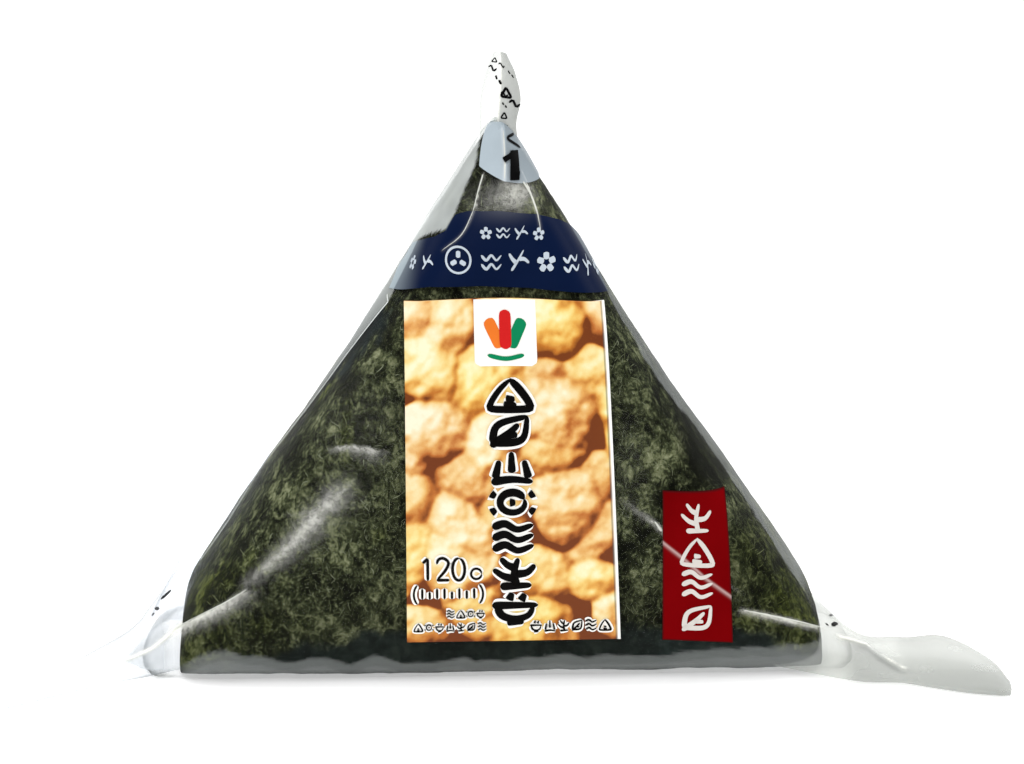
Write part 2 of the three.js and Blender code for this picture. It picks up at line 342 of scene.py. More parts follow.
def strands(count, side, seed):
    """Thin ribbons on one face of the sheet: each starts at a random place, kept more often
    where the mat is dense and away from the sheet's edges, and curls evenly over 0.2 to 1.7 mm.
    Its width falls to its ends."""
    chance = np.random.default_rng(seed)
    x, z = chance.uniform(-52, 52, count * 6), chance.uniform(2, 77, count * 6)
    share = outline_share(centre[0] + (x - centre[0]) / waist(z), z)
    spots = np.stack([x, np.full(x.shape, 15.0 * side), z], -1)
    dense = 0.5 + 0.9 * crumple(spots, 5.0, 8) + 0.5 * crumple(spots, 1.8, 9)
    keep = (share < 0.92) & (np.abs(x) < fold_from)
    keep &= chance.uniform(0, 1, x.size) < np.clip(dense, 0.06, 1)
    _, slate_shade, dim = sheet_tints(spots)
    keep &= (slate_shade < 0.4) & (dim < chance.uniform(0.2, 1, x.size))
    x, z = x[keep][:count], z[keep][:count]
    length = chance.uniform(0.4, 1.7, x.size) * chance.uniform(0.4, 1, x.size)
    heading = chance.uniform(0, np.pi, x.size)
    curl = chance.normal(0, 0.6, x.size)
    steps = 6
    t = np.linspace(0, 1, steps + 1)[None]
    turn = heading[:, None] + curl[:, None] * t
    step = (length / steps)[:, None]
    u = x[:, None] + np.cumsum(np.cos(turn) * step, 1)
    w = z[:, None] + np.cumsum(np.sin(turn) * step, 1)
    half = chance.uniform(0.022, 0.052, (x.size, 1)) * np.sqrt(np.sin(np.pi * (0.06 + 0.88 * t)))
    left = seaweed_face(u - np.sin(turn) * half, w + np.cos(turn) * half, side)
    right = seaweed_face(u + np.sin(turn) * half, w - np.cos(turn) * half, side)
    points = np.stack([left, right], 2).reshape(-1, 3)
    per_strand = 2 * (steps + 1)
    first = (np.arange(x.size)[:, None] * per_strand + np.arange(steps)[None] * 2).ravel()
    faces = np.stack([first, first + 1, first + 3, first + 2], -1)
    pale = np.repeat(0.12 + 0.88 * chance.uniform(0, 1, x.size) ** 2.2, per_strand)
    return points, faces if side < 0 else faces[:, ::-1], pale


front_count, back_count = 5600, 5000
parts = [strands(front_count, -1, 31), strands(back_count, 1, 32)]
points = np.concatenate([part[0] for part in parts])
faces = np.concatenate([parts[0][1], parts[1][1] + len(parts[0][0])])
green, slate_shade, dim = sheet_tints(points)
# The fibres take the sheet's painted shade: darker where it is slate-shaded and where it is dim.
pale = np.concatenate([part[2] for part in parts]) * (1 - 0.85 * slate_shade) * (1 - 0.75 * dim)
fibres = piece_from("seaweed_fibres", points, faces, {"pale": pale, "greener": green})
thread = Finish("seaweed_threads")
level = thread.value("pale")
grey = thread.ramp(level, [(0.0, paint(44, 48, 32)), (0.5, paint(78, 83, 60)),
                           (1.0, paint(128, 134, 110))])
green = thread.ramp(level, [(0.0, paint(44, 50, 14)), (0.5, paint(74, 82, 28)),
                            (1.0, paint(122, 128, 74))])
tone = thread.mix(thread.value("greener"), grey, green)
surface = thread.add("BsdfDiffuse", {"Color": tone})
thread.close(surface.outputs["BSDF"], fibres)
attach(fibres, "root")


# Clear wrapper
# A bag of clear, crisp film, drawn tight over the rice ball and folded under its base. It lies on
# the sheet in front and stands off it along both slopes, where a pale veil is painted as its sheen.
# It catches light along its taut creases by its gloss and by highlights painted along them, and
# painted shade darkens it along its base.
table_top, rows_per_mm = 78, 3
table_reach, table_step = 80, 0.4


def section_table():
    """Places on the wrapper by height and by distance along the film from the middle of the
    front: three rows per mm from 0 to 78 mm, one column per 0.4 mm from -80 to 80 mm."""
    heights = np.linspace(0, table_top, table_top * rows_per_mm + 1)
    reach = np.linspace(-table_reach, table_reach, 401)
    table = np.zeros((heights.size, reach.size, 3))
    sweep = np.sin(np.linspace(0, np.pi / 2, 900)) ** 0.5
    for row, height in enumerate(heights):
        for side in (-1, 1):
            spans = np.linspace(0, 60, 6001)
            shares = outline_share(centre[0] + side * spans / waist(height),
                                   np.full(spans.shape, height))
            width = np.interp(1.0, shares, spans)
            x = side * width * sweep
            y = -half_depth(centre[0] + x, np.full(x.shape, height))
            y[-1] = 0
            x, y = np.concatenate([x, x[-2::-1]]), np.concatenate([y, -y[-2::-1]])
            length = np.concatenate([[0], np.cumsum(np.hypot(np.diff(x), np.diff(y)))])
            use = reach * side >= 0
            table[row, use, 0] = centre[0] + np.interp(np.abs(reach[use]), length, x)
            table[row, use, 1] = np.interp(np.abs(reach[use]), length, y)
        table[row, :, 2] = height
    return table


film_table = section_table()


def blend_between(grid, row, column):
    """The place in a grid of points at a fractional row and column, by bilinear blending."""
    i, j = row.astype(int), column.astype(int)
    u, v = (row - i)[..., None], (column - j)[..., None]
    return ((grid[i, j] * (1 - u) + grid[i + 1, j] * u) * (1 - v)
            + (grid[i, j + 1] * (1 - u) + grid[i + 1, j + 1] * u) * v)


def on_film(along, height, lift):
    """The place on the wrapper at a distance along the film and a height, by bilinear blending
    in the table, moved out by lift along the surface's normal."""
    def read(s, z):
        return blend_between(film_table, np.clip(z * rows_per_mm, 0, 233.999),
                             np.clip((s + table_reach) / table_step, 0, 399.999))
    along, height = np.broadcast_arrays(np.asarray(along, float), np.asarray(height, float))
    spot = read(along, height)
    normal = np.cross(read(along + 0.4, height) - read(along - 0.4, height),
                      read(along, height + 0.4) - read(along, height - 0.4))
    normal /= np.maximum(np.linalg.norm(normal, axis=-1, keepdims=True), 1e-9)
    fold = fold_height(along, height, film_creases) + ripple_height(spot)
    return spot + normal * (lift + fold)[..., None]


def along_film(points):
    """Distance along the film from the middle of the nearer face to each point, at its height:
    the table's nearest column, then the nearest place between that column's neighbours."""
    flat = points.reshape(-1, 3).copy()
    flat[:, 1] = -np.abs(flat[:, 1])
    batch = 4000
    row = np.clip(np.rint(flat[:, 2] * rows_per_mm), 0, table_top * rows_per_mm).astype(int)
    column = np.concatenate([
        np.argmin(np.sum((film_table[row[k:k + batch], :, :2] - flat[k:k + batch, None, :2]) ** 2,
                         -1), -1) for k in range(0, len(flat), batch)])
    column = np.clip(column, 1, 399)
    before, after = film_table[row, column - 1, :2], film_table[row, column + 1, :2]
    step = after - before
    share = np.sum((flat[:, :2] - before) * step, -1) / np.maximum(np.sum(step**2, -1), 1e-9)
    along = (column - 1 + 2 * np.clip(share, 0, 1)) * table_step - table_reach
    return along.reshape(points.shape[:-1])


def path_place(s, z, path):
    """Distance from each (s, z) to a path of straight pieces, the share of the way along it at
    the nearest place, and whether the point lies above the path there."""
    best = np.full(s.shape, 1e9)
    along = np.zeros(s.shape)
    above = np.zeros(s.shape, bool)
    total = len(path) - 1
    for index, (start, end) in enumerate(zip(path[:-1], path[1:])):
        step = np.subtract(end, start)
        share = np.clip(((s - start[0]) * step[0] + (z - start[1]) * step[1]) / (step @ step), 0, 1)
        off = s - start[0] - share * step[0], z - start[1] - share * step[1]
        distance = np.hypot(*off)
        nearer = distance < best
        along = np.where(nearer, (index + share) / total, along)
        above = np.where(nearer, off[1] > 0, above)
        best = np.minimum(distance, best)
    return best, along, above


def curve_through(knots, walk):
    """Places on a smooth curve through the knots, a uniform Catmull-Rom: walk counts knots."""
    padded = np.concatenate([2 * knots[:1] - knots[1:2], knots, 2 * knots[-1:] - knots[-2:-1]])
    step = np.minimum(walk.astype(int), len(knots) - 2)
    t = (walk - step).reshape(-1, *[1] * (knots.ndim - 1))
    p0, p1, p2, p3 = (padded[step + k] for k in range(4))
    return 0.5 * (2 * p1 + (p2 - p0) * t + (2 * p0 - 5 * p1 + 4 * p2 - p3) * t**2
                  + (3 * p1 - p0 - 3 * p2 + p3) * t**3)


def smooth_walk(path, samples):
    """Points along the smooth curve through the path's points."""
    return curve_through(np.array(path, float), np.linspace(0, len(path) - 1, samples))


film_creases = [
    # path on the front as (distance along the film, height), fold height, half widths above and
    # below it, and the strength of its painted highlight at its start, middle and end, all in mm
    ([(-49.6, 6.6), (-44.3, 9.7), (-39.9, 12.3), (-37.0, 14.4)], 0.7, 0.2, 0.9, (0.9, 0.75, 0.3)),
    ([(-36.5, 15.6), (-33.0, 18.6), (-29.7, 21.8), (-27.0, 25.0)], 0.4, 0.9, 1.2,
     (0.16, 0.4, 0.5)),
    ([(-27.2, 25.2), (-25.0, 26.8), (-23.4, 28.4)], 0.5, 1.2, 1.3, (0.42, 0.5, 0.22)),
    ([(-23.8, 27.9), (-21.6, 30.2)], 0.3, 0.25, 0.5, (0.35, 0.25, 0.1)),
    ([(-31.0, 25.4), (-28.8, 25.4), (-26.5, 25.8)], 0.1, 0.3, 0.9, (0.03, 0.15, 0.3)),
    ([(-24.3, 34.5), (-21.2, 34.9), (-18.6, 34.4)], 0.25, 0.12, 0.8, (0.3, 0.42, 0.36)),
    ([(46.6, 6.3), (45.2, 6.9), (40.2, 8.9), (36.4, 10.1), (33.2, 10.9)], 0.6, 0.18, 0.32,
     (0.4, 0.95, 0.35)),
    ([(33.0, 13.4), (27.8, 17.1), (24.8, 19.3), (20.8, 23.6)], 0.5, 0.14, 0.22,
     (0.08, 0.25, 0.6)),
    ([(20.8, 23.6), (18.4, 25.4), (15.6, 27.4)], 0.3, 0.3, 0.5, (0.4, 0.16, 0.02)),
    ([(-2.8, 71.6), (-3.6, 69.3), (-4.4, 66.4), (-6.1, 63.4), (-8.9, 61.2)], 0.28, 0.13, 0.13,
     (0.3, 0.6, 0.12)),
    ([(2.6, 71.5), (3.7, 69.2), (4.7, 65.9), (5.1, 63.4)], 0.28, 0.15, 0.15, (0.6, 0.7, 0.1)),
    ([(-21.4, 57.3), (-18.2, 59.0), (-15.0, 61.2)], 0.15, 0.5, 0.9, (0.1, 0.14, 0.04)),
    ([(-0.3, 77.0), (0.0, 73.5), (-0.1, 70.6)], 0.2, 0.14, 0.2, (0.8, 0.9, 0.7)),
]
back_creases = [
    ([(-46.0, 5.0), (-30.0, 16.0), (-12.0, 33.0)], 0.6, 0.4, 1.2, (0.8, 0.5, 0.1)),
    ([(46.0, 5.0), (32.0, 15.0), (14.0, 31.0)], 0.6, 0.4, 1.2, (0.8, 0.5, 0.1)),
    ([(-3.0, 73.0), (-5.0, 64.0), (-9.0, 55.0)], 0.3, 0.3, 0.4, (0.3, 0.5, 0.1)),
    ([(3.0, 73.0), (5.0, 64.0), (8.0, 54.0)], 0.3, 0.3, 0.4, (0.3, 0.5, 0.1)),
    ([(0.0, 58.0), (0.6, 30.0), (0.0, 2.0)], 0.35, 0.4, 0.4, (0.3, 0.25, 0.3)),
]
soft_glows = [
    # middle, half sizes and strength of a broad highlight painted on the film
    (1.6, 69.0, 2.4, 1.3, 0.42), (0.0, 67.5, 4.2, 1.9, 0.14), (17.0, 32.0, 3.0, 7.0, 0.014),
    (-21.0, 38.0, 7.0, 6.0, 0.016),
]


def fold_height(s, z, creases):
    """How far the creases stand off the film at each place, less and less along each."""
    total = np.zeros(np.shape(s))
    for path, fold, above, below, _ in creases:
        distance, along, over = path_place(s, z, smooth_walk(path, 3 * len(path)))
        ridge = np.exp(-((distance / np.where(over, above, 0.5 + below / 2)) ** 2))
        total += fold * ridge * np.clip(1.1 - along, 0, 1)
    return total


def ripple_height(points):
    """The film's slight unevenness, none at its base."""
    return 0.12 * crumple(points, 9.0, 11) * np.clip(points[..., 2] / 6, 0, 1)


def caught_light(s, z, creases):
    """How strong the film's painted highlight is at each place, along its creases and in broad glows,
    from 0 to 1.
    """
    light = np.zeros(np.shape(s))
    for path, _, above, below, strength in creases:
        distance, along, over = path_place(s, z, smooth_walk(path, 3 * len(path)))
        width = np.where(over, above, below) * (0.6 + 0.6 * along)
        light = np.maximum(light, np.interp(along, [0, 0.5, 1], strength)
                           * np.exp(-((distance / width) ** 1.3)))
    for middle, height, half_width, half_height, strength in soft_glows:
        far = ((s - middle) / half_width) ** 2 + ((z - height) / half_height) ** 2
        light = light + strength * np.exp(-far) * (1 - light)
    return light


def eased(value):
    """0 below 0, 1 above 1, and a smoothstep between."""
    value = np.clip(value, 0, 1)
    return value * value * (3 - 2 * value)


def wall_share(s, z, side):
    """How far round the side of the wrapper a place lies: 0 where the film leaves the sheet's
    edge, 1 at the outermost place. side is -1 on the left and 1 on the right."""
    left = np.interp(z, [6, 12, 15, 20, 25, 31, 41, 50, 57, 66, 76],
                     [56, 54, 47, 43, 40, 34.4, 24.5, 16.5, 16, 11.5, 6])
    right = np.interp(z, [5.3, 9.2, 13.1, 18.7, 24.7, 30.3, 36.1, 42.3, 47.9, 53.3, 66, 76],
                      [48.8, 46.5, 45.2, 42.3, 38.4, 34.7, 30.5, 24.2, 20.7, 18, 11.5, 7.5])
    edge = left if side < 0 else right
    outermost = 24 + 0.885 * (60 - z)
    return (s * side - edge) / np.maximum(outermost - edge, 4.0)


def painted_sheen(s, z, wobble):
    """How much painted sheen the film shows, a pale veil for the reflection of its bright
    surroundings:
    along both slopes where it stands off the sheet, more beyond the seam line of the left one, low
    down where it turns in scallops under the base, on the left slope above the band, and in faint
    upright streaks round the sides. Clear at both corners."""
    right = wall_share(s, z, 1) + 0.05 * wobble
    left = np.clip(wall_share(s, z, -1) + 0.03 * wobble, 0, 1)
    right_wall = 0.2 + 0.05 * wobble + 0.3 * eased((15 - z) / 7)
    right_wall = right_wall * eased(right / 0.04) + 0.16 * eased((right - 0.62) / 0.2)
    right_wall = right_wall * (1 - 0.8 * eased((right - 0.9) / 0.5)) * eased((z - 1) / 3)
    seam = np.interp(z, [13.8, 19.8, 27.1, 34.7, 45, 53.4, 60], [56.5, 51.4, 47.9, 40.6, 29.2,
                                                              18.9, 16])
    beyond = np.interp(z, [15, 25, 40, 55], [0.05, 0.1, 0.2, 0.36])
    beyond = eased((-s - seam) / 0.5) * (beyond + 0.03 * np.clip(-s - seam, 0, 9))
    left_wall = (0.05 * left**3 + beyond) * eased((z - 14) / 5)
    left_wall = left_wall * (1 - 0.8 * eased((wall_share(s, z, -1) - 1.0) / 0.5))
    field = eased((-s - np.interp(z, [60.5, 62, 64, 66, 69, 72.5, 76],
                                  [19, 15, 8.3, 7.2, 6.0, 4.3, 4.5])) / 0.5) * (z > 60.5)
    field = field * (0.56 + 0.24 * eased(left * 1.4) + 0.06 * wobble)
    scallop = np.interp(s, [-47, -42, -39, -33.5, -30, -28, -22, -19, -15, -7, -2, 7, 19, 31, 45],
                        [2.2, 4.5, 4.9, 3.5, 2.6, 3.5, 2.5, 3.6, 2.5, 3.1, 2.6, 3.4, 3.2, 4.1,
                         4.6])
    scallop = scallop + 0.4 * np.abs(np.sin(s / 2.1 + 1.3 * np.sin(s / 5.0))) + 0.3 * wobble
    low = 0.175 * eased((scallop + 1.0 - z) / 0.5) + 0.06 * eased((scallop - 0.6 - z) / 0.4)
    low = low + 0.45 * eased((1.1 - z) / 1.0) + 0.1 * eased((2.4 - z) / 1.5) * eased((s + 8) / 6)
    low = low * (1 - 0.95 * eased((np.abs(s) - 44) / 4))
    streaks = 0.05 * np.clip(crumple(np.stack([s / 1.3, z / 16, 0 * s], -1), 1.0, 14), 0, 1)
    sides = streaks * eased((np.maximum(right, wall_share(s, z, -1)) - 0.9) / 0.3)
    haze_and_sheen = np.maximum.reduce([right_wall, left_wall, field, low]) + sides
    corner = eased((np.abs(s) - 45.5) / 2) * eased((14 - z) / 4)
    return np.clip(haze_and_sheen * (1 - 0.97 * corner), 0, 1)


film_rows, film_columns = 200, 440
film = wrapped_form(film_rows, film_columns, lambda angle: np.full(angle.shape, 26.0))
outward = normals_of(film, closed=True)
front = film[..., 1] < 0
reach, height = along_film(film), film[..., 2]
wobble = crumple(film, 2.4, 12) + 0.5 * crumple(film, 1.1, 13)
lift = ripple_height(film) + np.where(front, fold_height(reach, height, film_creases),
                                      fold_height(reach, height, back_creases))
# Painted highlight along the creases and in broad glows.
glare = np.where(front, caught_light(reach, height, film_creases),
                 caught_light(reach, height, back_creases))
upward = 1 - eased((-outward[..., 2] - 0.6) / 0.3)
# Painted sheen: the pale veil that stands for the film's reflection of its surroundings.
haze_and_sheen = painted_sheen(reach, height, wobble) * upward
dull = 0.9 - 0.15 * eased((height - 60) / 6)
# Painted shade along the film's base, heavier on the left.
shade = upward * eased((1.7 - height) / 0.9) * (0.3 + 0.4 * eased(-reach / 8))
film = film + outward * lift[..., None]
film[..., 2] = np.maximum(film[..., 2], 0.0)
wrapper = closed_piece("clear_wrapper", film,
                       {"haze_and_sheen": haze_and_sheen, "glare": glare, "dull": dull, "shade": shade})


def clear_film(name, tone=(204, 209, 207), passed=(255, 255, 255)):
    """Clear film: see-through face on and glossy at a slant. Its piece's values give it a pale veil of
    haze and painted sheen, a painted highlight with fine grain (glare), less gloss (dull), and
    painted shade (shade)."""
    skin = Finish(name)
    place = skin.place()
    wrinkle = skin.noise(place, 130.0, 2.0)
    bump = skin.add("Bump", {"Height": wrinkle, "Strength": 0.1,
                             "Distance": 0.001}).outputs["Normal"]
    shade = skin.value("shade")
    # Painted shade: the veil and the light let through turn grey where shade is high.
    veil = skin.mix(shade, paint(*tone), paint(96, 100, 98))
    let = skin.mix(shade, paint(*passed), paint(110, 114, 112))
    gloss = skin.add("BsdfGlossy", {"Color": (1, 1, 1, 1), "Roughness": 0.2, "Normal": bump})
    pale = skin.add("BsdfDiffuse", {"Color": veil, "Normal": bump})
    clear = skin.add("BsdfTransparent", {"Color": let})
    shine = skin.value("glare")
    grain = skin.add("MapRange", {"Value": skin.noise(place, 1150.0, 3.0, 0.7), "From Min": 0.38,
                                  "From Max": 0.62, "To Min": 0.4, "To Max": 1.3})
    grain = skin.add("Mix", {"Factor": shine, "A": grain.outputs["Result"], "B": 1.0},
                     data_type="FLOAT").outputs["Result"]
    shine = skin.math("MULTIPLY", shine, grain, use_clamp=True)
    # Painted highlight: a near-white matte layer mixed in where glare is high.
    bright = skin.add("BsdfDiffuse", {"Color": paint(252, 252, 244)})
    body = skin.add("MixShader", {0: skin.value("haze_and_sheen"), 1: clear.outputs[0], 2: pale.outputs[0]})
    body = skin.add("MixShader", {0: shine, 1: body.outputs[0], 2: bright.outputs[0]})
    slant = skin.add("Fresnel", {"IOR": 1.2, "Normal": bump}).outputs[0]
    dull = skin.math("SUBTRACT", 1.0, skin.value("dull"), use_clamp=True)
    slant = skin.math("MULTIPLY", slant, dull)
    both = skin.add("MixShader", {0: slant, 1: body.outputs[0], 2: gloss.outputs[0]})
    return skin, both.outputs[0]


skin, shader = clear_film("clear_film")
skin.close(shader, wrapper)
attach(wrapper, "root")
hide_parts("film_pack")


# Ears and fin
# The film's side seams: at each lower corner the film gathers at a pinch and flares into a flat
# leaf that rests on the table, and a narrow fin of it stands out above the left ear.
def film_sheet(stations, along=96, across=64, wrinkle=0.0, seed=0):
    """A thin wavy sheet through stations of a lower edge, a middle and an upper edge: smooth
    curves run along through them, and a parabola runs across at each place."""
    a = np.linspace(0, 1, along + 1)
    b = np.linspace(0, 1, across + 1)[None, :, None]
    curve = curve_through(np.array(stations, float), a * (len(stations) - 1))
    lower, middle, upper = (curve[:, None, k] for k in range(3))
    grid = lower * (1 - b) * (1 - 2 * b) + 4 * b * (1 - b) * middle + b * (2 * b - 1) * upper
    folds = wrinkle * np.sin(np.pi * b[..., 0]) * crumple(
        np.stack(np.broadcast_arrays(a[:, None] * 2.0, b[..., 0] * 9.0, 0.0), -1), 1.0, seed)
    return grid + normals_of(grid, closed=False) * folds[..., None]


def both_skins(grid, thickness=0.3):
    """The sheet as a closed skin: its two sides half the thickness off it, joined all round."""
    normal = normals_of(grid, closed=False)
    skins = np.concatenate([grid + normal * thickness / 2,
                            (grid - normal * thickness / 2)[:, ::-1]], 1)
    rows, count = skins.shape[:2]
    k = np.arange(count // 2 - 1)
    ends = np.stack([k, k + 1, count - 2 - k, count - 1 - k], -1)
    far = (rows - 1) * count + ends[:, ::-1]
    return skins, np.concatenate([loop_faces(rows, count), ends, far])


left_ear_stations = [
    [(-40, -13, 2.4), (-42, -6, 9), (-44.2, 0, 15.6)],
    [(-49.6, -14.7, 0.9), (-49.6, -11, 4.5), (-50.4, 0, 7)],
    [(-54, -16.4, 0.6), (-54, -13, 2.4), (-53.6, -3.5, 4)],
    [(-61.4, -20.8, 0.5), (-61.2, -17, 1.3), (-60.5, -11, 2)],
    [(-69, -26.9, 0.5), (-69.1, -26.6, 0.5), (-69.2, -26.2, 0.5)],
]
left_fin_stations = [
    [(-33, 0, 29.6), (-34.4, 0, 29.4), (-35.8, 0, 29.3)],
    [(-37.6, 0, 20.2), (-39.9, 0, 20.2), (-42.1, 0, 20.2)],
    [(-40.4, 0, 14), (-43, 0, 14.6), (-45.6, 0, 15.3)],
    [(-43, -1, 4), (-47, -1, 4.5), (-51, -1, 5.2)],
]
right_ear_stations = [
    [(38, -15.2, 1.4), (38, -7, 10), (38, 2, 16)],
    [(49.6, -20.2, 0.5), (49.4, -15, 4.2), (50.2, -5.5, 3.8)],
    [(56.6, -21.6, 0.5), (56.9, -18, 1.7), (57.7, -8.2, 2.8)],
    [(64, -25.3, 0.5), (64.2, -18.6, 1.1), (64.2, -9, 3.1)],
    [(68.6, -26.9, 0.5), (69.2, -21.5, 0.9), (69.8, -15.2, 1.6)],
    [(70.6, -27, 0.5), (71.2, -24.8, 0.5), (71.4, -21.8, 0.6)],
]


def ear_piece(name, stations, film, wrinkle, haze_sheen_of, glare_of, shade_of, dull=0.88):
    """One leaf of film; its haze-and-sheen, glare and shade functions give its values of haze and
    painted sheen, painted highlight and painted shade from the share of the way out along it, the
    share of the way up across it, and a roughness from -1 to 1."""
    grid = film_sheet(stations, wrinkle=wrinkle, seed=len(name))
    points, faces = both_skins(grid)
    a = np.linspace(0, 1, points.shape[0])[:, None]
    b = np.linspace(0, 1, grid.shape[1])
    b = np.concatenate([b, b[::-1]])[None]
    rough = crumple(points, 3.0, 21)
    values = {"haze_and_sheen": haze_sheen_of, "glare": glare_of, "shade": shade_of}
    shades = {key: np.broadcast_to(of(a, b, rough), rough.shape) for key, of in values.items()}
    ear = piece_from(name, points, faces, {**shades, "dull": np.full(rough.shape, dull)})
    skin, shader = film
    skin.close(shader, ear)
    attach(ear, "root")
    return grid


def rim(b, width=0.06):
    """1 at both edges of a leaf, fading to 0 within the given share of its width."""
    return np.exp(-(np.minimum(b, 1 - b) / width) ** 2)


def ridge(b, middle, width):
    """1 along one line of a leaf, fading to 0 away from it."""
    return np.exp(-(((b - middle) / width) ** 2))


def left_gather(a, b):
    """How much a place lies on the left ear's gathered part, a wedge that opens from the pinch
    half way out towards the rice ball, and how far above the wedge's bright fold it is."""
    fold = np.interp(a, [0.15, 0.2, 0.27, 0.365, 0.48], [0.48, 0.46, 0.44, 0.47, 0.5])
    top = np.interp(a, [0.15, 0.25, 0.385, 0.49], [0.78, 0.77, 0.75, 0.56])
    bottom = np.interp(a, [0.15, 0.25, 0.354, 0.49], [-0.05, 0.05, 0.2, 0.44])
    inside = eased((top - b) / 0.04) * eased((b - bottom) / 0.04)
    return inside * (a < 0.49), b - fold


def outside_pack(a):
    """0.3 on the part of an ear that lies inside the pack's corner, 1 beyond it."""
    return 0.3 + 0.7 * eased((a - 0.16) / 0.06)


def left_haze_sheen(a, b, rough):
    """Hazy with painted sheen on the gathered part and thinly so along both edges, clear on the
    flat leaf.
    """
    inside, _ = left_gather(a, b)
    return (0.32 * inside + 0.01 + 0.22 * rim(b, 0.03)) * outside_pack(a)


def left_glare(a, b, rough):
    """A painted highlight along the fold from the pinch to the rice ball."""
    inside, above = left_gather(a, b)
    return 0.9 * inside * ridge(above, 0.0, 0.03)


def left_shade(a, b, rough):
    """Painted shade: darkest on the upper facet beside the fold and low down on the lower one, with a
    faint painted line along both edges.
    """
    inside, above = left_gather(a, b)
    upper = 0.17 * eased(above / 0.03) - 0.13 * eased((above - 0.1) / 0.14)
    lower = 0.12 * eased(-above / 0.03) - 0.1 * eased((-above - 0.2) / 0.2)
    facets = inside * (upper + lower + 0.02 * rough)
    return (facets + 0.2 * rim(b, 0.03)) * outside_pack(a)


def right_fold(a):
    """The share across the right ear of its fold: up along the neck's crest, down to the pinch,
    then rising to the leaf's upper edge at the tip."""
    return np.interp(a, [0.17, 0.22, 0.26, 0.3, 0.35, 0.4, 0.5, 0.6, 0.73, 0.88, 0.95],
                     [0.5, 0.64, 0.72, 0.62, 0.53, 0.45, 0.5, 0.53, 0.62, 0.9, 1.02])


def right_glare(a, b, rough):
    """Three short painted highlights along the fold: on the neck's crest, beyond it, at the pinch."""
    places = eased((0.285 - a) / 0.03) * eased((a - 0.16) / 0.03)
    places = places + 0.8 * ridge(a, 0.35, 0.025) + 0.8 * ridge(a, 0.397, 0.012)
    return 0.9 * np.clip(places, 0, 1) * ridge(b, right_fold(a) + 0.02, 0.03)


def right_shade(a, b, rough):
    """Painted shade: light above the fold and greyer below it, with a darker line under it on the
    neck, and darker towards the tip's lower edge."""
    above = b - right_fold(a)
    shade = 0.2 - 0.07 * eased(above / 0.25) + 0.04 * eased(-above / 0.015)
    neck = eased((0.42 - a) / 0.06)
    shade = shade - neck * 0.07 * (1 - eased(-above / 0.015))
    shade = shade + 0.2 * neck * ridge(above, -0.1, 0.06) * eased((a - 0.2) / 0.06)
    shade = shade + 0.08 * eased((0.3 - b) / 0.3) * eased((a - 0.5) / 0.3)
    return (shade + 0.01 * rough) * outside_pack(a)


ear_piece("left_ear", left_ear_stations,
          clear_film("left_ear_film", (222, 228, 233), (252, 253, 254)), 0.05,
          left_haze_sheen, left_glare, left_shade)
# The fin's faint outline along its outer edge is painted shade and painted sheen.
fin_grid = ear_piece("left_fin", left_fin_stations,
                     clear_film("left_fin_film", (226, 234, 240), (252, 253, 255)), 0.0,
                     lambda a, b, rough: 0.02 + 0.2 * rim(b, 0.06) * (b > 0.5),
                     lambda a, b, rough: 0 * a * b,
                     lambda a, b, rough: 0.13 * rim(b, 0.08) * (b > 0.5))
# The right leaf is veiled all over in haze and painted sheen.
right_grid = ear_piece("right_ear", right_ear_stations,
                       clear_film("right_ear_film", (224, 226, 222), (246, 247, 245)), 0.02,
                       lambda a, b, rough: (0.3 + 0.1 * rim(b) + 0.03 * rough)
                       * (0.4 + 0.6 * outside_pack(a)), right_glare, right_shade)


# Pull tab
# The end of the tear strip, a narrow ribbon of frosted film that curls up from the apex, with a
# few short black marks that point down along it.
pull_tab_stations = [
    [(-2.4, 0, 73.5), (0.2, -1.6, 73.5), (2.8, 0, 73.5)],
    [(-2.6, 0, 77.6), (0, -1.7, 77.5), (2.4, -0.1, 77.3)],
    [(-2.3, 1, 81.6), (0.3, -1.4, 81.4), (3, -1, 81)],
    [(-1.4, 1, 85.2), (0.5, -0.6, 85.1), (2.3, -1.3, 84.6)],
    [(-0.6, 0.6, 87.4), (0.3, 0, 87.5), (1, -0.6, 87.3)],
]
# The tab's half beyond its fold is hazier and in painted shade, with a painted highlight along the
# fold.
tab_grid = ear_piece(
    "pull_tab", pull_tab_stations, clear_film("pull_tab_film", (214, 216, 212), (244, 245, 244)),
    0.06,
    lambda a, b, rough: 0.08 + 0.6 * eased((b - 0.45) / 0.06) + 0.1 * rim(b),
    lambda a, b, rough: 0.6 * ridge(b, 0.47, 0.03),
    lambda a, b, rough: 0.3 * eased((b - 0.45) / 0.06) * (0.3 + 0.7 * b))


# Print on the wrapper
# A navy band across the front with plain pale ornaments, a frosted patch at the apex with the
# figure 1 for the first pull, a thin white line on the left slope and a few black marks, all of
# them ink on the film.
def grid_faces(rows, columns):
    """Four-sided faces of an open grid of rows x columns points."""
    row, column = np.meshgrid(np.arange(rows - 1), np.arange(columns - 1), indexing="ij")
    first = row * columns + column
    return np.stack([first, first + 1, first + columns + 1, first + columns], -1).reshape(-1, 4)


def field_between(lower, upper, left, right, rows=40, columns=160):
    """A grid of places between a lower and an upper curve, each given as (along, height)."""
    s = np.linspace(left, right, columns)
    low, high = (np.interp(s, *np.array(curve, float).T) for curve in (lower, upper))
    v = np.linspace(0, 1, rows)[:, None]
    return np.stack([np.broadcast_to(s, (rows, columns)), low + (high - low) * v], -1)


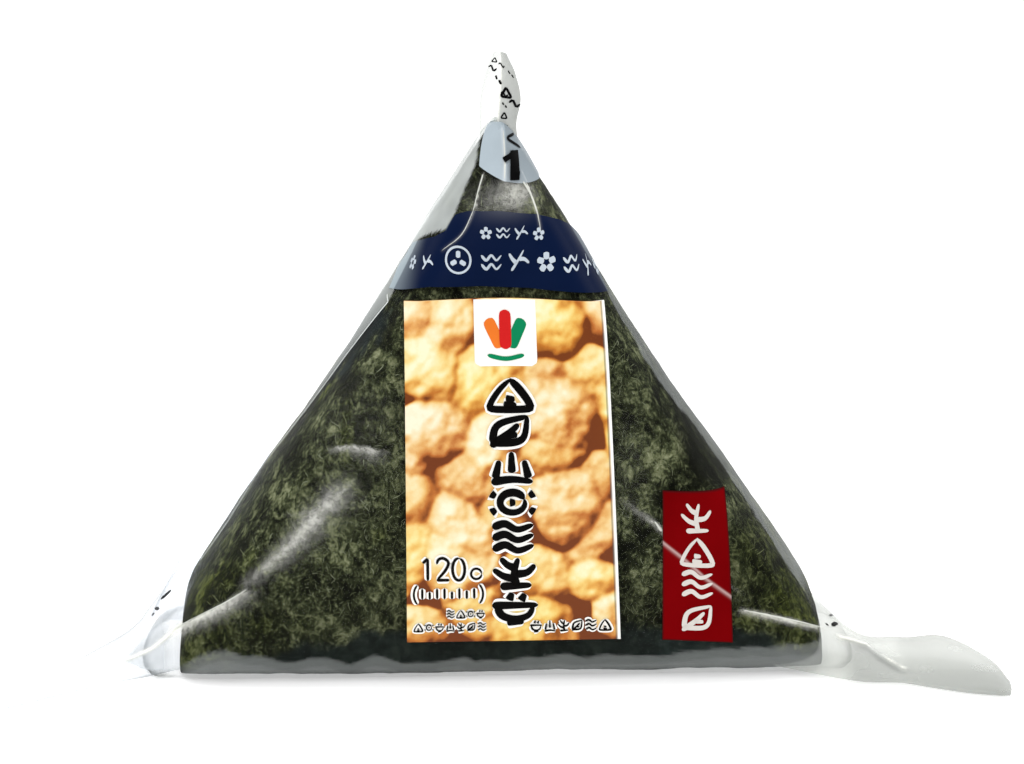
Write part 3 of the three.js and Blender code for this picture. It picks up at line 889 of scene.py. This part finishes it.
def ink_stroke(path, width, lift, place=on_film, samples=20, taper=0.0, round_ends=True):
    """A stroke of ink along a smooth walk, narrowed towards its far end by the taper."""
    spine = smooth_walk(path, samples)
    heading = np.gradient(spine, axis=0)
    heading /= np.maximum(np.linalg.norm(heading, axis=1, keepdims=True), 1e-9)
    side = np.stack([-heading[:, 1], heading[:, 0]], -1)
    t = np.linspace(0, 1, samples)
    swell = 1 - taper * t
    if round_ends:
        swell = swell * np.sqrt(np.maximum(1 - np.abs(2 * t - 1) ** 9, 0.06))
    across = np.linspace(-0.5, 0.5, 4)[None, :, None]
    flat = spine[:, None] + side[:, None] * across * (width * swell)[:, None, None]
    return place(flat[..., 0], flat[..., 1], lift), grid_faces(samples, 4)[:, ::-1]


def joined(parts):
    """Several grids of points and faces as one."""
    points, faces, count = [], [], 0
    for grid, cells in parts:
        points.append(grid.reshape(-1, 3))
        faces.append(cells + count)
        count += points[-1].shape[0]
    return np.concatenate(points), np.concatenate(faces)


def ring(along, height, radius, turns=(0, 360), samples=17):
    """Points of a circle, or of part of one, around (along, height)."""
    angle = np.radians(np.linspace(*turns, samples))
    return [(along + radius * np.cos(t), height + radius * np.sin(t)) for t in angle]


def ink(name, tone, coverage=1.0, roughness=0.3):
    """Printed ink: its colour, slightly uneven in strength, with painted shade where the film is
    folded away from the light, and the film's painted sheen and painted highlight lying over it."""
    skin = Finish(name)
    cloud = skin.noise(skin.place(), 90.0, 4.0)
    darker = tuple(0.85 * channel for channel in paint(*tone)[:3]) + (1.0,)
    shade = skin.ramp(cloud, [(0.35, darker), (0.65, paint(*tone))])
    # Painted shade, painted sheen and painted highlight laid over the ink colour.
    for key, over in (("shade", (40, 44, 44)), ("haze_and_sheen", (206, 222, 228)), ("glare", (250, 251, 252))):
        shade = skin.mix(skin.value(key), shade, paint(*over))
    cover = skin.add("BsdfPrincipled", {"Base Color": shade, "Roughness": roughness,
                                        "Specular IOR Level": 0.03})
    clear = skin.add("BsdfTransparent", {"Color": (1, 1, 1, 1)})
    mix = skin.add("MixShader", {0: coverage, 1: clear.outputs[0], 2: cover.outputs[0]})
    return skin, mix.outputs[0]


def printed(name, points, faces, finish, slot="film_print", shades=None):
    """A piece of ink on the pack, finished and fixed to it."""
    piece = piece_from(name, points, faces, shades)
    skin, shader = finish
    skin.close(shader, piece)
    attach(piece, "root")


def printed_field(name, spots, lift, finish, folded=0.0):
    """A field of ink on the film, with the film's painted sheen and painted highlight where it lies
    and more painted sheen to the left; folded is how much painted shade it takes where it is turned
    away from the light, from 0 to 1, where the distance along is over 0.2 mm."""
    s, z = spots[..., 0], spots[..., 1]
    # Painted sheen on the ink, more towards the band's left end.
    turned = 0.2 * eased((-s - 12) / 6) + 0.75 * painted_sheen(s, z, np.zeros(s.shape))
    shades = {"haze_and_sheen": turned,
              "glare": 0.45 * caught_light(s, z, film_creases),
              "shade": folded * eased((s - 0.1) / 0.3)}
    printed(name, on_film(s, z, lift), grid_faces(*s.shape), finish, shades=shades)


field_lift, ornament_lift, line_lift, highlight_lift = 0.1, 0.17, 0.12, 0.16
band_lower = [(-20.9, 54.7), (-15.9, 55.4), (-10.7, 56.4), (-3.6, 56.7), (3.2, 56.4), (17.9, 54.4)]
band_upper = [(-20.9, 57.0), (-19.3, 60.6), (-13.4, 62.0), (-10.7, 62.7), (-8.8, 63.6),
              (-8.1, 64.8), (-7.2, 65.9), (-5.3, 66.5), (-0.8, 66.7), (4.5, 66.0), (8.4, 64.9),
              (13.8, 63.2), (17.9, 61.5)]
printed_field("navy_band", field_between(band_lower, band_upper, -20.9, 17.9), field_lift,
              ink("navy_ink", (7, 21, 51)))
patch_lower = [(-3.7, 72.3), (-0.1, 70.5), (2.8, 70.0), (7.5, 70.1), (8.4, 70.6)]
patch_upper = [(-3.7, 77.2), (-2.0, 78.3), (0.5, 78.9), (4.0, 78.2), (8.4, 76.8)]
# The patch's right part takes painted shade where the film turns away from the light.
printed_field("frosted_patch", field_between(patch_lower, patch_upper, -3.7, 8.4), field_lift,
              ink("frosted_ink", (172, 184, 192), 0.93), 0.3)


def blossom(along, height, size, lift):
    """A plain five-petalled flower: five short fat strokes around its middle."""
    return [ink_stroke([(along + reach * size * np.cos(t), height + reach * size * np.sin(t))
                        for reach in (0.14, 0.5)], 0.3 * size, lift, samples=9)
            for t in np.radians(np.arange(5) * 72 + 90)]


def wave(along, height, size, lift):
    """Two stacked brushed waves."""
    return [ink_stroke([(along + size * (k / 4 - 0.5), height + size * (dip + (0.12, -0.12)[k % 2]))
                        for k in range(5)], 0.16 * size, lift, taper=0.5) for dip in (0.2, -0.22)]


def sprig(along, height, size, lift):
    """A leaning stem with a pair of leaves and a bud."""
    lines = [((-0.35, -0.45), (-0.05, 0.0), (0.25, 0.5)), ((-0.1, -0.1), (-0.3, 0.1), (-0.45, 0.35)),
             ((0.02, 0.1), (0.28, 0.08), (0.5, -0.1))]
    return [ink_stroke([(along + size * u, height + size * v) for u, v in line], width * size, lift,
                       taper=0.5) for line, width in zip(lines, (0.14, 0.22, 0.22))]


ornaments = []
for place_along, place_height, figure, size in (
    (-2.7, 63.7, blossom, 1.7), (-0.3, 63.8, wave, 1.9), (2.2, 63.7, sprig, 1.9),
    (4.7, 63.4, blossom, 1.7), (-2.0, 59.9, wave, 2.8), (1.8, 60.0, sprig, 2.9),
    (5.7, 59.7, blossom, 2.7), (9.6, 59.2, wave, 2.8), (13.4, 58.4, sprig, 2.6),
    (16.6, 57.6, blossom, 2.0), (-11.3, 59.4, sprig, 2.1), (-14.6, 58.9, blossom, 1.8),
):
    ornaments += figure(place_along, place_height, size, ornament_lift)
disc_middle = (-6.6, 60.1)
ornaments.append(ink_stroke(ring(*disc_middle, 1.72), 0.3, ornament_lift, samples=49,
                            round_ends=False))
for turn in (90, 210, 330):
    spoke = [ring(*disc_middle, reach, (turn, turn), 1)[0] for reach in (0.28, 1.2)]
    ornaments.append(ink_stroke(spoke, 0.62, ornament_lift, samples=9))
printed("band_ornaments", *joined(ornaments), ink("pale_ink", (186, 196, 206)))


def on_leaf(grid, width, length):
    """A function that gives the place on a leaf of film at a distance from its first edge and
    from its root, in mm on a leaf of the given width and length, moved off by lift. Every leaf
    is taken with its rear face first, so a lift below 0 lies in front of it."""
    normal = normals_of(grid, closed=False)

    def place(right, up, lift):
        row = np.clip(np.asarray(up) / length, 0, 1) * (grid.shape[0] - 1.001)
        column = np.clip(np.asarray(right) / width, 0, 1) * (grid.shape[1] - 1.001)
        nearest = normal[row.astype(int), column.astype(int)]
        return blend_between(grid, row, column) + nearest * lift
    return place


tab_size, fin_size, right_ear_size = (4.9, 14.2), (6.0, 27.0), (14.0, 36.0)
on_tab, on_fin = on_leaf(tab_grid, *tab_size), on_leaf(fin_grid, *fin_size)
on_right_ear = on_leaf(right_grid[:, ::-1], *right_ear_size)
black_marks = [
    ink_stroke([(1.62, 74.2), (1.52, 72.4), (1.4, 70.5)], 1.55, 0.3, taper=0.1, round_ends=False),
    ink_stroke([(1.5, 74.0), (-0.15, 73.1)], 0.7, 0.31, samples=6, round_ends=False),
    ink_stroke([(2.9, 76.1), (0.6, 75.8), (3.6, 74.3)], 0.34, 0.2, samples=31),
]
for start, end, width, lift, place in (
    ((5.1, 23.5), (5.75, 24.8), 0.34, -0.24, on_fin),
    ((5.6, 25.7), (5.75, 26.1), 0.5, -0.24, on_fin),
    ((5.75, 26.4), (5.8, 26.85), 0.16, -0.24, on_fin),
    ((5.3, 5.7), (2.8, 6.3), 0.34, -0.25, on_right_ear),
    ((2.6, 5.6), (0.6, 6.0), 0.16, -0.25, on_right_ear),
    ((6.0, 5.2), (5.6, 5.3), 0.26, -0.25, on_right_ear),
):
    black_marks.append(ink_stroke([start, end], width, lift, place, samples=6))
tab_signs = [
    # strokes of a small triangle, a wave and a pair of dots, in shares of their size
    [[(-0.45, -0.4), (0.0, 0.45)], [(0.0, 0.45), (0.45, -0.4)], [(0.45, -0.4), (-0.45, -0.4)]],
    [[(-0.5, 0.1), (-0.2, 0.35), (0.15, -0.2), (0.5, 0.1)]],
    [[(-0.3, 0.35), (-0.1, 0.0)], [(0.1, 0.0), (0.3, -0.35)]],
]
for first, last, count, size in (((1.0, 12.3), (4.0, 10.3), 3, 1.25),
                                 ((0.9, 10.5), (4.2, 6.3), 4, 1.45),
                                 ((2.9, 7.4), (3.1, 3.4), 4, 0.9)):
    for k in range(count):
        right, up = np.add(first, np.subtract(last, first) * k / (count - 1))
        for line in tab_signs[(k + count) % 3]:
            black_marks.append(ink_stroke([(right + size * u, up + size * v) for u, v in line],
                                          0.22 * size, -0.22, on_tab, samples=9))
printed("black_marks", *joined(black_marks), ink("black_ink", (8, 8, 9)))

slope_path = [(-20.5, 54.0), (-18.9, 53.4), (-29.2, 45.0), (-40.6, 34.7), (-47.9, 27.1),
              (-51.4, 19.8), (-56.5, 13.8), (-58.5, 14.5)]
slope_line = [ink_stroke([start, end], 0.2, line_lift, samples=24, round_ends=False)
              for start, end in zip(slope_path[:-1], slope_path[1:])]
printed("slope_line", *joined(slope_line), ink("white_ink", (236, 240, 238), 0.9))


# Painted highlights of the creases
# Along the sharpest folds of the tight film, a hair-thin pale line of ink painted as the light it
# catches.
crease_highlights = []
for path, width, narrowed in (
    ([(-49.4, 6.7), (-44.3, 9.8), (-39.9, 12.4), (-36.6, 14.6)], 0.34, 0.7),
    ([(-2.9, 71.2), (-3.6, 69.3), (-4.4, 66.6)], 0.22, 0.2),
    ([(-4.4, 66.6), (-6.1, 63.4), (-8.9, 61.2)], 0.16, 0.6),
    ([(2.7, 70.2), (3.7, 68.6), (4.6, 66.2)], 0.26, 0.2),
    ([(4.6, 66.2), (5.1, 63.2)], 0.16, 0.7),
    ([(46.4, 6.5), (45.2, 7.0), (40.2, 9.0), (36.4, 10.2), (33.2, 11.0)], 0.3, 0.6),
    ([(21.6, 22.6), (20.6, 24.0)], 0.4, 0.6),
    ([(-0.1, 76.8), (0.05, 73.5), (0.0, 70.8)], 0.26, 0.2),
):
    crease_highlights.append(ink_stroke(path, width, highlight_lift, samples=60, taper=narrowed))
printed("crease_highlight_lines", *joined(crease_highlights), ink("crease_light", (232, 234, 226), 0.7))


# Front label
# An upright paper sticker in the middle of the front, printed with a warm picture of golden
# crisp pieces, a pale panel at the top, a column of brushed ornaments and a plain figure below.
sticker_rise, sticker_thickness, rear_columns = 0.65, 0.35, 14


def on_sticker(corners, bow=0.0):
    """A function that gives the place at a distance from the left edge and from the lower edge
    of a sticker, on its printed face, moved off by lift. Its upper edge is bowed by bow, less
    and less towards the lower one."""
    lower_left, lower_right, upper_right, upper_left = (np.array(c, float) for c in corners)
    wide, tall = np.linalg.norm(lower_right - lower_left), np.linalg.norm(upper_left - lower_left)

    def place(right, up, lift):
        u, v = np.asarray(right)[..., None] / wide, np.asarray(up)[..., None] / tall
        flat = (lower_left * (1 - u) + lower_right * u) * (1 - v) \
            + (upper_left * (1 - u) + upper_right * u) * v
        x, z = flat[..., 0], flat[..., 1]
        turned = 2 * u[..., 0] - 1
        z = z + bow * (0.4 - 1.1 * turned**2 - 0.3 * turned) * v[..., 0] ** 3
        return np.stack([x, -half_depth(x, z) - sticker_rise - lift, z], -1)
    return place, wide, tall


def sticker(name, corners, columns, rows, shades_of, bow=0.0):
    """A sticker 0.35 mm thick: each row's loop runs along the front and back along the rear."""
    place, wide, tall = on_sticker(corners, bow)
    v = np.linspace(0, tall, rows)[:, None]
    u = np.linspace(0, wide, columns)[None]
    rear = np.linspace(wide, 0, rear_columns)[None]
    skins = np.concatenate([place(*np.broadcast_arrays(u, v), 0.0),
                            place(*np.broadcast_arrays(rear, v), -sticker_thickness)], 1)
    count = columns + rear_columns
    sides = np.roll(loop_faces(rows, count)[:, ::-1], 1, axis=1)
    edge = np.arange(count)
    caps = [edge[::-1].tolist(), (edge + (rows - 1) * count).tolist()]
    along, up = np.broadcast_arrays(np.concatenate([u, rear], 1), v)
    return piece_from(name, skins, sides.tolist() + caps, shades_of(along, up))


def softened(field, span):
    """A field averaged three times over a square of 2 span + 1 samples each way."""
    for axis in (0, 1, 0, 1, 0, 1):
        widths = [(span + 1, span) if k == axis else (0, 0) for k in (0, 1)]
        total = np.cumsum(np.pad(field, widths, mode="edge"), axis=axis)
        low = np.arange(field.shape[axis])
        field = (np.take(total, low + 2 * span + 1, axis) - np.take(total, low, axis)) / (2 * span + 1)
    return field


def crisp_pieces(u, v):
    """A picture of heaped crisp golden pieces: domes with uneven rims at seeded places, the
    highest one on top, roughened, then lit from the upper left. Returns brightness and warmth."""
    rng = np.random.default_rng(26)
    spots = np.stack([u, 0 * u, v], -1)
    ripple = 0.17 * crumple(spots, 4.3, 31) + 0.06 * crumple(spots, 1.9, 32)
    height = np.full(u.shape, -1.0)
    warm = np.zeros(u.shape)
    for cell in rng.permutation(35):
        middle = np.array([cell % 5 + 0.2, cell // 5 + 0.5]) * 7.0 + rng.uniform(-2.8, 2.8, 2)
        size = rng.uniform(4.6, 8.0)
        slim, turn, base = rng.uniform(0.6, 1), rng.uniform(0, np.pi), rng.uniform(0, 3.2)
        across = (u - middle[0]) * np.cos(turn) + (v - middle[1]) * np.sin(turn)
        up = (v - middle[1]) * np.cos(turn) - (u - middle[0]) * np.sin(turn)
        reach = np.maximum(np.hypot(across, up / slim) / size + ripple, 0)
        dome = np.where(reach < 1, base + 0.55 * size * np.sqrt(np.maximum(1 - reach**2, 0)), -9)
        warm = np.where(dome > height, rng.uniform(-1, 1), warm)
        height = np.maximum(height, dome)
    rough = (height + 0.4 * crumple(spots, 2.3, 33) + 0.2 * crumple(spots, 1.1, 37)
             + 0.08 * crumple(spots, 0.55, 34))
    slope_v, slope_u = np.gradient(rough, v[1, 0] - v[0, 0], u[0, 1] - u[0, 0])
    lit = (0.4 * slope_u - 0.62 * slope_v + 0.68) / np.sqrt(1 + slope_u**2 + slope_v**2)
    hollow = np.minimum(height - softened(height, 7), 0.5)
    deep = height - softened(height, 24)
    flecks = np.clip(crumple(spots, 0.55, 36) - 0.45, 0, 1) * np.clip(lit, 0, 1)
    lamp = 0.05 - 0.1 * eased((u - 8) / 18) - 0.1 * eased((26 - v) / 20)
    bright = (0.1 + 0.82 * lit + 0.24 * hollow + 0.1 * deep + 0.1 * crumple(spots, 3.6, 35)
              + 0.6 * flecks + lamp)
    return np.clip(softened(bright, 1), 0.05, 1), softened(warm, 4)


front_corners = [(-13.7, 7), (16.4, 7.1), (14.4, 54.9), (-13.7, 54.7)]
label_bow = 1.0
strip_edge = 29.6


def picture_shades(u, v):
    """The picture's brightness and warmth at each point, and the white strip with a dark line
    beside it along the right edge."""
    bright, warm = crisp_pieces(u[:, :-rear_columns], v[:, :-rear_columns])
    rear = np.zeros((u.shape[0], rear_columns))
    return {"bright": np.concatenate([bright, rear], 1), "warm": np.concatenate([warm, rear], 1),
            "strip": eased((u - strip_edge) / 0.1),
            "line": np.exp(-(((u - strip_edge + 0.05) / 0.09) ** 2))}


label = sticker("front_label_sheet", front_corners, 200, 300, picture_shades, label_bow)
paper = Finish("label_paper")
crumbs = paper.noise(paper.place(), 900.0, 4.0, 0.7)
bright = paper.math("MULTIPLY_ADD", crumbs, 0.26, paper.value("bright"))
bright = paper.math("SUBTRACT", bright, 0.13)
gold = paper.ramp(bright, [
    (0.08, paint(112, 54, 16)), (0.3, paint(184, 112, 36)), (0.5, paint(220, 164, 74)),
    (0.66, paint(230, 196, 108)), (0.82, paint(234, 218, 146)), (1.0, paint(240, 232, 190))])
pink = paper.ramp(bright, [
    (0.08, paint(106, 50, 18)), (0.3, paint(176, 100, 46)), (0.5, paint(212, 154, 88)),
    (0.66, paint(226, 188, 130)), (0.82, paint(232, 208, 166)), (1.0, paint(240, 230, 204))])
warm = paper.add("MapRange", {"Value": paper.value("warm"), "From Min": -1.0, "From Max": 1.0})
tone = paper.mix(warm.outputs["Result"], gold, pink)
for mark, mark_tone in (("strip", paint(246, 246, 242)), ("line", paint(70, 70, 62))):
    tone = paper.mix(paper.value(mark), tone, mark_tone)
surface = paper.add("BsdfPrincipled", {"Base Color": tone, "Roughness": 0.35,
                                       "Specular IOR Level": 0.15})
paper.close(surface.outputs["BSDF"], label)
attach(label, "root")
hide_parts("front_label")

on_front = on_sticker(front_corners, label_bow)[0]


def panel(left, right, low, high, lift, place, corner=0.0):
    """A flat field of ink with rounded lower corners."""
    samples = 24
    v = np.linspace(0, 1, samples)[:, None]
    u = v.T
    up = low + (high - low) * v
    inset = corner - np.sqrt(np.maximum(corner**2 - np.maximum(low + corner - up, 0) ** 2, 0))
    return (place(left + inset + (right - left - 2 * inset) * u, up + 0 * u, lift),
            grid_faces(samples, samples))


printed("label_panel", *joined([panel(10.3, 19.5, 38.7, 47.6, 0.05, on_front, 0.8)]),
        ink("panel_ink", (250, 249, 244)), "front_label")
for name, start, end, lift, tone in (
    ("emblem_orange", (14.2, 41.2), (12.3, 45.0), 0.1, (232, 120, 44)),
    ("emblem_green", (15.6, 41.2), (17.5, 45.0), 0.13, (14, 130, 84)),
    ("emblem_red", (14.9, 41.0), (14.9, 46.2), 0.16, (204, 34, 34)),
):
    printed(name, *joined([ink_stroke([start, end], 1.75, lift, on_front, samples=24)]),
            ink(name + "_ink", tone), "front_label")
printed("emblem_ground", *joined([
    ink_stroke([(12.2, 40.2), (14.9, 39.7), (17.6, 40.2)], 0.6, 0.14, on_front)]),
    ink("emblem_ground_ink", (14, 130, 84)), "front_label")

motifs = [
    # strokes of each brushed figure, in shares of its size, from its middle: a rice ball, a leaf,
    # three grains, a sun, waves, a sprig and a bowl
    [[(0, 0.5), (0.25, 0.15), (0.48, -0.32), (0.4, -0.48), (-0.4, -0.48), (-0.48, -0.32),
      (-0.25, 0.15), (0.03, 0.5)], [(-0.16, -0.36), (0.16, -0.36)], [(-0.1, -0.16), (0.12, -0.16)]],
    [[(-0.46, -0.4), (-0.3, 0.2), (0.42, 0.48)], [(-0.46, -0.4), (0.25, -0.3), (0.42, 0.48)],
     [(-0.5, -0.5), (-0.05, -0.08), (0.2, 0.22)], [(-0.1, -0.12), (0.16, -0.14)]],
    [[(-0.4, -0.38), (-0.3, 0.22)], [(0, -0.2), (0, 0.5)], [(0.4, -0.38), (0.3, 0.22)],
     [(-0.5, -0.5), (0, -0.42), (0.5, -0.5)]],
    [[(0.3 * np.cos(t), 0.34 * np.sin(t)) for t in np.radians(range(20, 381, 30))],
     [(-0.07, 0), (0.07, 0)], [(-0.52, 0.32), (-0.4, 0.2)], [(0.52, 0.32), (0.4, 0.2)],
     [(-0.52, -0.34), (-0.4, -0.22)], [(0.52, -0.34), (0.4, -0.22)]],
    [[(-0.5, 0.36), (-0.2, 0.48), (0.1, 0.28), (0.48, 0.44)],
     [(-0.5, -0.02), (-0.2, 0.12), (0.1, -0.08), (0.48, 0.1)],
     [(-0.5, -0.4), (-0.2, -0.24), (0.1, -0.44), (0.48, -0.26)]],
    [[(0.05, -0.5), (0, 0), (0.1, 0.5)], [(0.03, -0.22), (-0.25, -0.12), (-0.5, 0.12)],
     [(0.03, -0.06), (0.3, 0.0), (0.5, 0.26)], [(0.03, 0.16), (-0.15, 0.26), (-0.32, 0.5)],
     [(-0.34, -0.48), (0.4, -0.44)]],
    [[(-0.44, 0.02), (-0.3, -0.3), (0, -0.42), (0.3, -0.3), (0.44, 0.02)],
     [(-0.54, 0.06), (0.54, 0.06)], [(-0.2, -0.52), (0.2, -0.52)], [(-0.14, 0.24), (-0.06, 0.5)],
     [(0.14, 0.22), (0.24, 0.46)]],
]


def brushed(figure, right, up, size, width, lift, place):
    """The strokes of one figure at its place on a sticker."""
    return [ink_stroke([(right + size[0] * u, up + size[1] * v) for u, v in line], width, lift,
                       place, samples=28, taper=0.4) for line in figure]


column_middle, column_top, column_pitch = 15.3, 34.9, 4.98
for name, width, lift, tone in (("column_outline", 2.15, 0.1, (252, 251, 246)),
                                ("column_figures", 1.25, 0.16, (8, 7, 7))):
    strokes = []
    for index, figure in enumerate(motifs):
        strokes += brushed(figure, column_middle, column_top - column_pitch * index, (6.0, 4.15),
                           width, lift, on_front)
    printed(name, *joined(strokes), ink(name + "_ink", tone), "front_label")

digits = {
    "1": [[(-0.2, 0.3), (0.04, 0.5)], [(0.04, 0.5), (0.04, -0.5)]],
    "2": [[(-0.3, 0.24), (-0.2, 0.45), (0.05, 0.5), (0.28, 0.3), (0.12, -0.05), (-0.3, -0.48)],
          [(-0.3, -0.48), (0.32, -0.48)]],
    "0": [[(0.3 * np.cos(t), 0.5 * np.sin(t)) for t in np.radians(range(80, 441, 30))]],
}


def small_print(width, lift):
    """The plain figure 120 and a ring, a bracketed row of bars, and rows of small figures below
    and at the right."""
    strokes = []
    for index, sign in enumerate("120"):
        strokes += [ink_stroke([(2.9 + 2.25 * index + 2.9 * u, 10.6 + 3.2 * v) for u, v in line],
                               0.42 + width, lift, on_front, samples=24) for line in digits[sign]]
    strokes.append(ink_stroke(ring(9.9, 9.9, 0.75), 0.34 + width, lift, on_front))
    for middle, turns in ((3.2, (140, 220)), (8.6, (-40, 40))):
        strokes.append(ink_stroke(ring(middle, 7.0, 2.2, turns, 7), 0.3 + width, lift, on_front))
    strokes += [ink_stroke([(2.2 + 1.05 * k, 6.3), (2.2 + 1.05 * k, 6.3 + 1.6 * tall)],
                           0.34 + width, lift, on_front, samples=9)
                for k, tall in enumerate((1, 0.7, 1, 1, 0.7, 1, 0.8, 1))]
    for first, count, pitch, up, size in ((6.2, 4, 1.4, 4.1, 1.15), (1.6, 7, 1.5, 2.2, 1.2),
                                          (18.2, 6, 1.95, 2.2, 1.6)):
        for k in range(count):
            strokes += brushed(motifs[(3 * k + count) % 7], first + pitch * k, up, (size, size),
                               0.2 * size + width, lift, on_front)
    return joined(strokes)


printed("small_print_outline", *small_print(0.6, 0.09), ink("small_outline_ink", (252, 250, 244)),
        "front_label")
printed("small_print", *small_print(0.0, 0.15), ink("small_print_ink", (18, 15, 12)), "front_label")


# Red label
# A small upright paper sticker by the lower right corner: deep red, with brushed pale ornaments.
red_corners = [(22.3, 6.9), (32.3, 6.3), (31.3, 27.7), (22.2, 28.4)]
on_red, red_wide, red_tall = on_sticker(red_corners)


def red_shades(u, v):
    """A highlight painted across its face where a crease under the sticker catches the light, and its
    darker rim.
    """
    distance, along, over = path_place(u, v, [(-0.5, 14.6), (3.2, 12.0), (6.4, 9.3), (10.4, 6.6)])
    edge = np.minimum.reduce([u, red_wide - u, v, red_tall - v])
    return {"glare": 0.4 * np.exp(-((distance / np.where(over, 0.14, 0.3)) ** 2)),
            "rim": np.clip(1 - edge / 0.3, 0, 1)}


red_label = sticker("red_label_sheet", red_corners, 90, 150, red_shades)
red = Finish("red_paper")
cloud = red.noise(red.place(), 60.0, 5.0)
tone = red.ramp(cloud, [(0.35, paint(98, 2, 5)), (0.65, paint(114, 4, 8))])
tone = red.mix(red.value("rim"), tone, paint(70, 14, 16))
# Painted highlight across the sticker along the crease under it.
tone = red.mix(red.value("glare"), tone, paint(246, 226, 222))
surface = red.add("BsdfPrincipled", {"Base Color": tone, "Roughness": 0.5,
                                     "Specular IOR Level": 0.0})
red.close(surface.outputs["BSDF"], red_label)
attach(red_label, "root")
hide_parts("red_label")
red_middle, red_top, red_pitch = 5.1, 17.9, 4.8
strokes = []
for index, choice in enumerate((5, 0, 4, 1)):
    strokes += brushed(motifs[choice], red_middle, red_top - red_pitch * index, (4.6, 3.9), 0.78,
                       0.06, on_red)
printed("red_label_figures", *joined(strokes), ink("cream_ink", (214, 208, 202)), "red_label")


# Floor, light and camera
# A plain pale floor on all sides of the pack, with soft boxes above, at both sides and behind.
floor_reach = 2600
reach = np.linspace(-floor_reach, floor_reach, 5)
ground = np.stack([*np.meshgrid(reach, reach), np.zeros((5, 5))], -1)
floor = piece_from("pale_floor", ground, grid_faces(5, 5))
pale = Finish("pale_card")
tint = pale.ramp(pale.noise(pale.place(), 4.0, 2.0),
                 [(0.3, (0.88, 0.88, 0.88, 1)), (0.7, (0.9, 0.9, 0.9, 1))])
card = pale.add("BsdfPrincipled", {"Base Color": tint, "Roughness": 0.9,
                                   "Emission Color": (1, 1, 1, 1), "Emission Strength": 0.45})
pale.close(card.outputs["BSDF"], floor)


def soft_box(name, place, size, power, target=(0.0, 0.0, 35.0)):
    """A square-cornered area light at a place, aimed at the target, both in millimetres."""
    light = bpy.data.lights.new(name, "AREA")
    light.shape = "RECTANGLE"
    light.size, light.size_y = size[0] * MM, size[1] * MM
    light.energy = power
    lamp = bpy.data.objects.new(name, light)
    lamp.location = Vector(place) * MM
    lamp.rotation_euler = Vector(np.subtract(target, place)).to_track_quat("-Z", "Y").to_euler()
    bpy.context.scene.collection.objects.link(lamp)


soft_box("overhead_box", (-60, -330, 420), (420, 260), 0.9)
soft_box("left_box", (-520, 120, 260), (260, 420), 0.6)
soft_box("right_box", (520, 120, 260), (260, 420), 0.6)
soft_box("rear_box", (0, 120, 620), (900, 400), 2.4, (0, 330, 0))

world = bpy.data.worlds.new("studio")
world.use_nodes = True
world.node_tree.nodes["Background"].inputs["Color"].default_value = (1, 1, 1, 1)
world.node_tree.nodes["Background"].inputs["Strength"].default_value = 0.6
bpy.context.scene.world = world
bpy.context.scene.view_settings.view_transform = "Standard"

turn, rise, distance = np.radians(-2.4), np.radians(14.0), 480.0
aim = np.array([1.9, 0.0, 39.6])
back = np.array([np.sin(turn) * np.cos(rise), -np.cos(turn) * np.cos(rise), np.sin(rise)])
eye = bpy.data.cameras.new("camera")
eye.lens, eye.sensor_width = 117.0, 36.0
camera = bpy.data.objects.new("camera", eye)
camera.location = Vector((aim + back * distance) * MM)
camera.rotation_euler = Vector(-back).to_track_quat("-Z", "Y").to_euler()
bpy.context.scene.collection.objects.link(camera)
bpy.context.scene.camera = camera
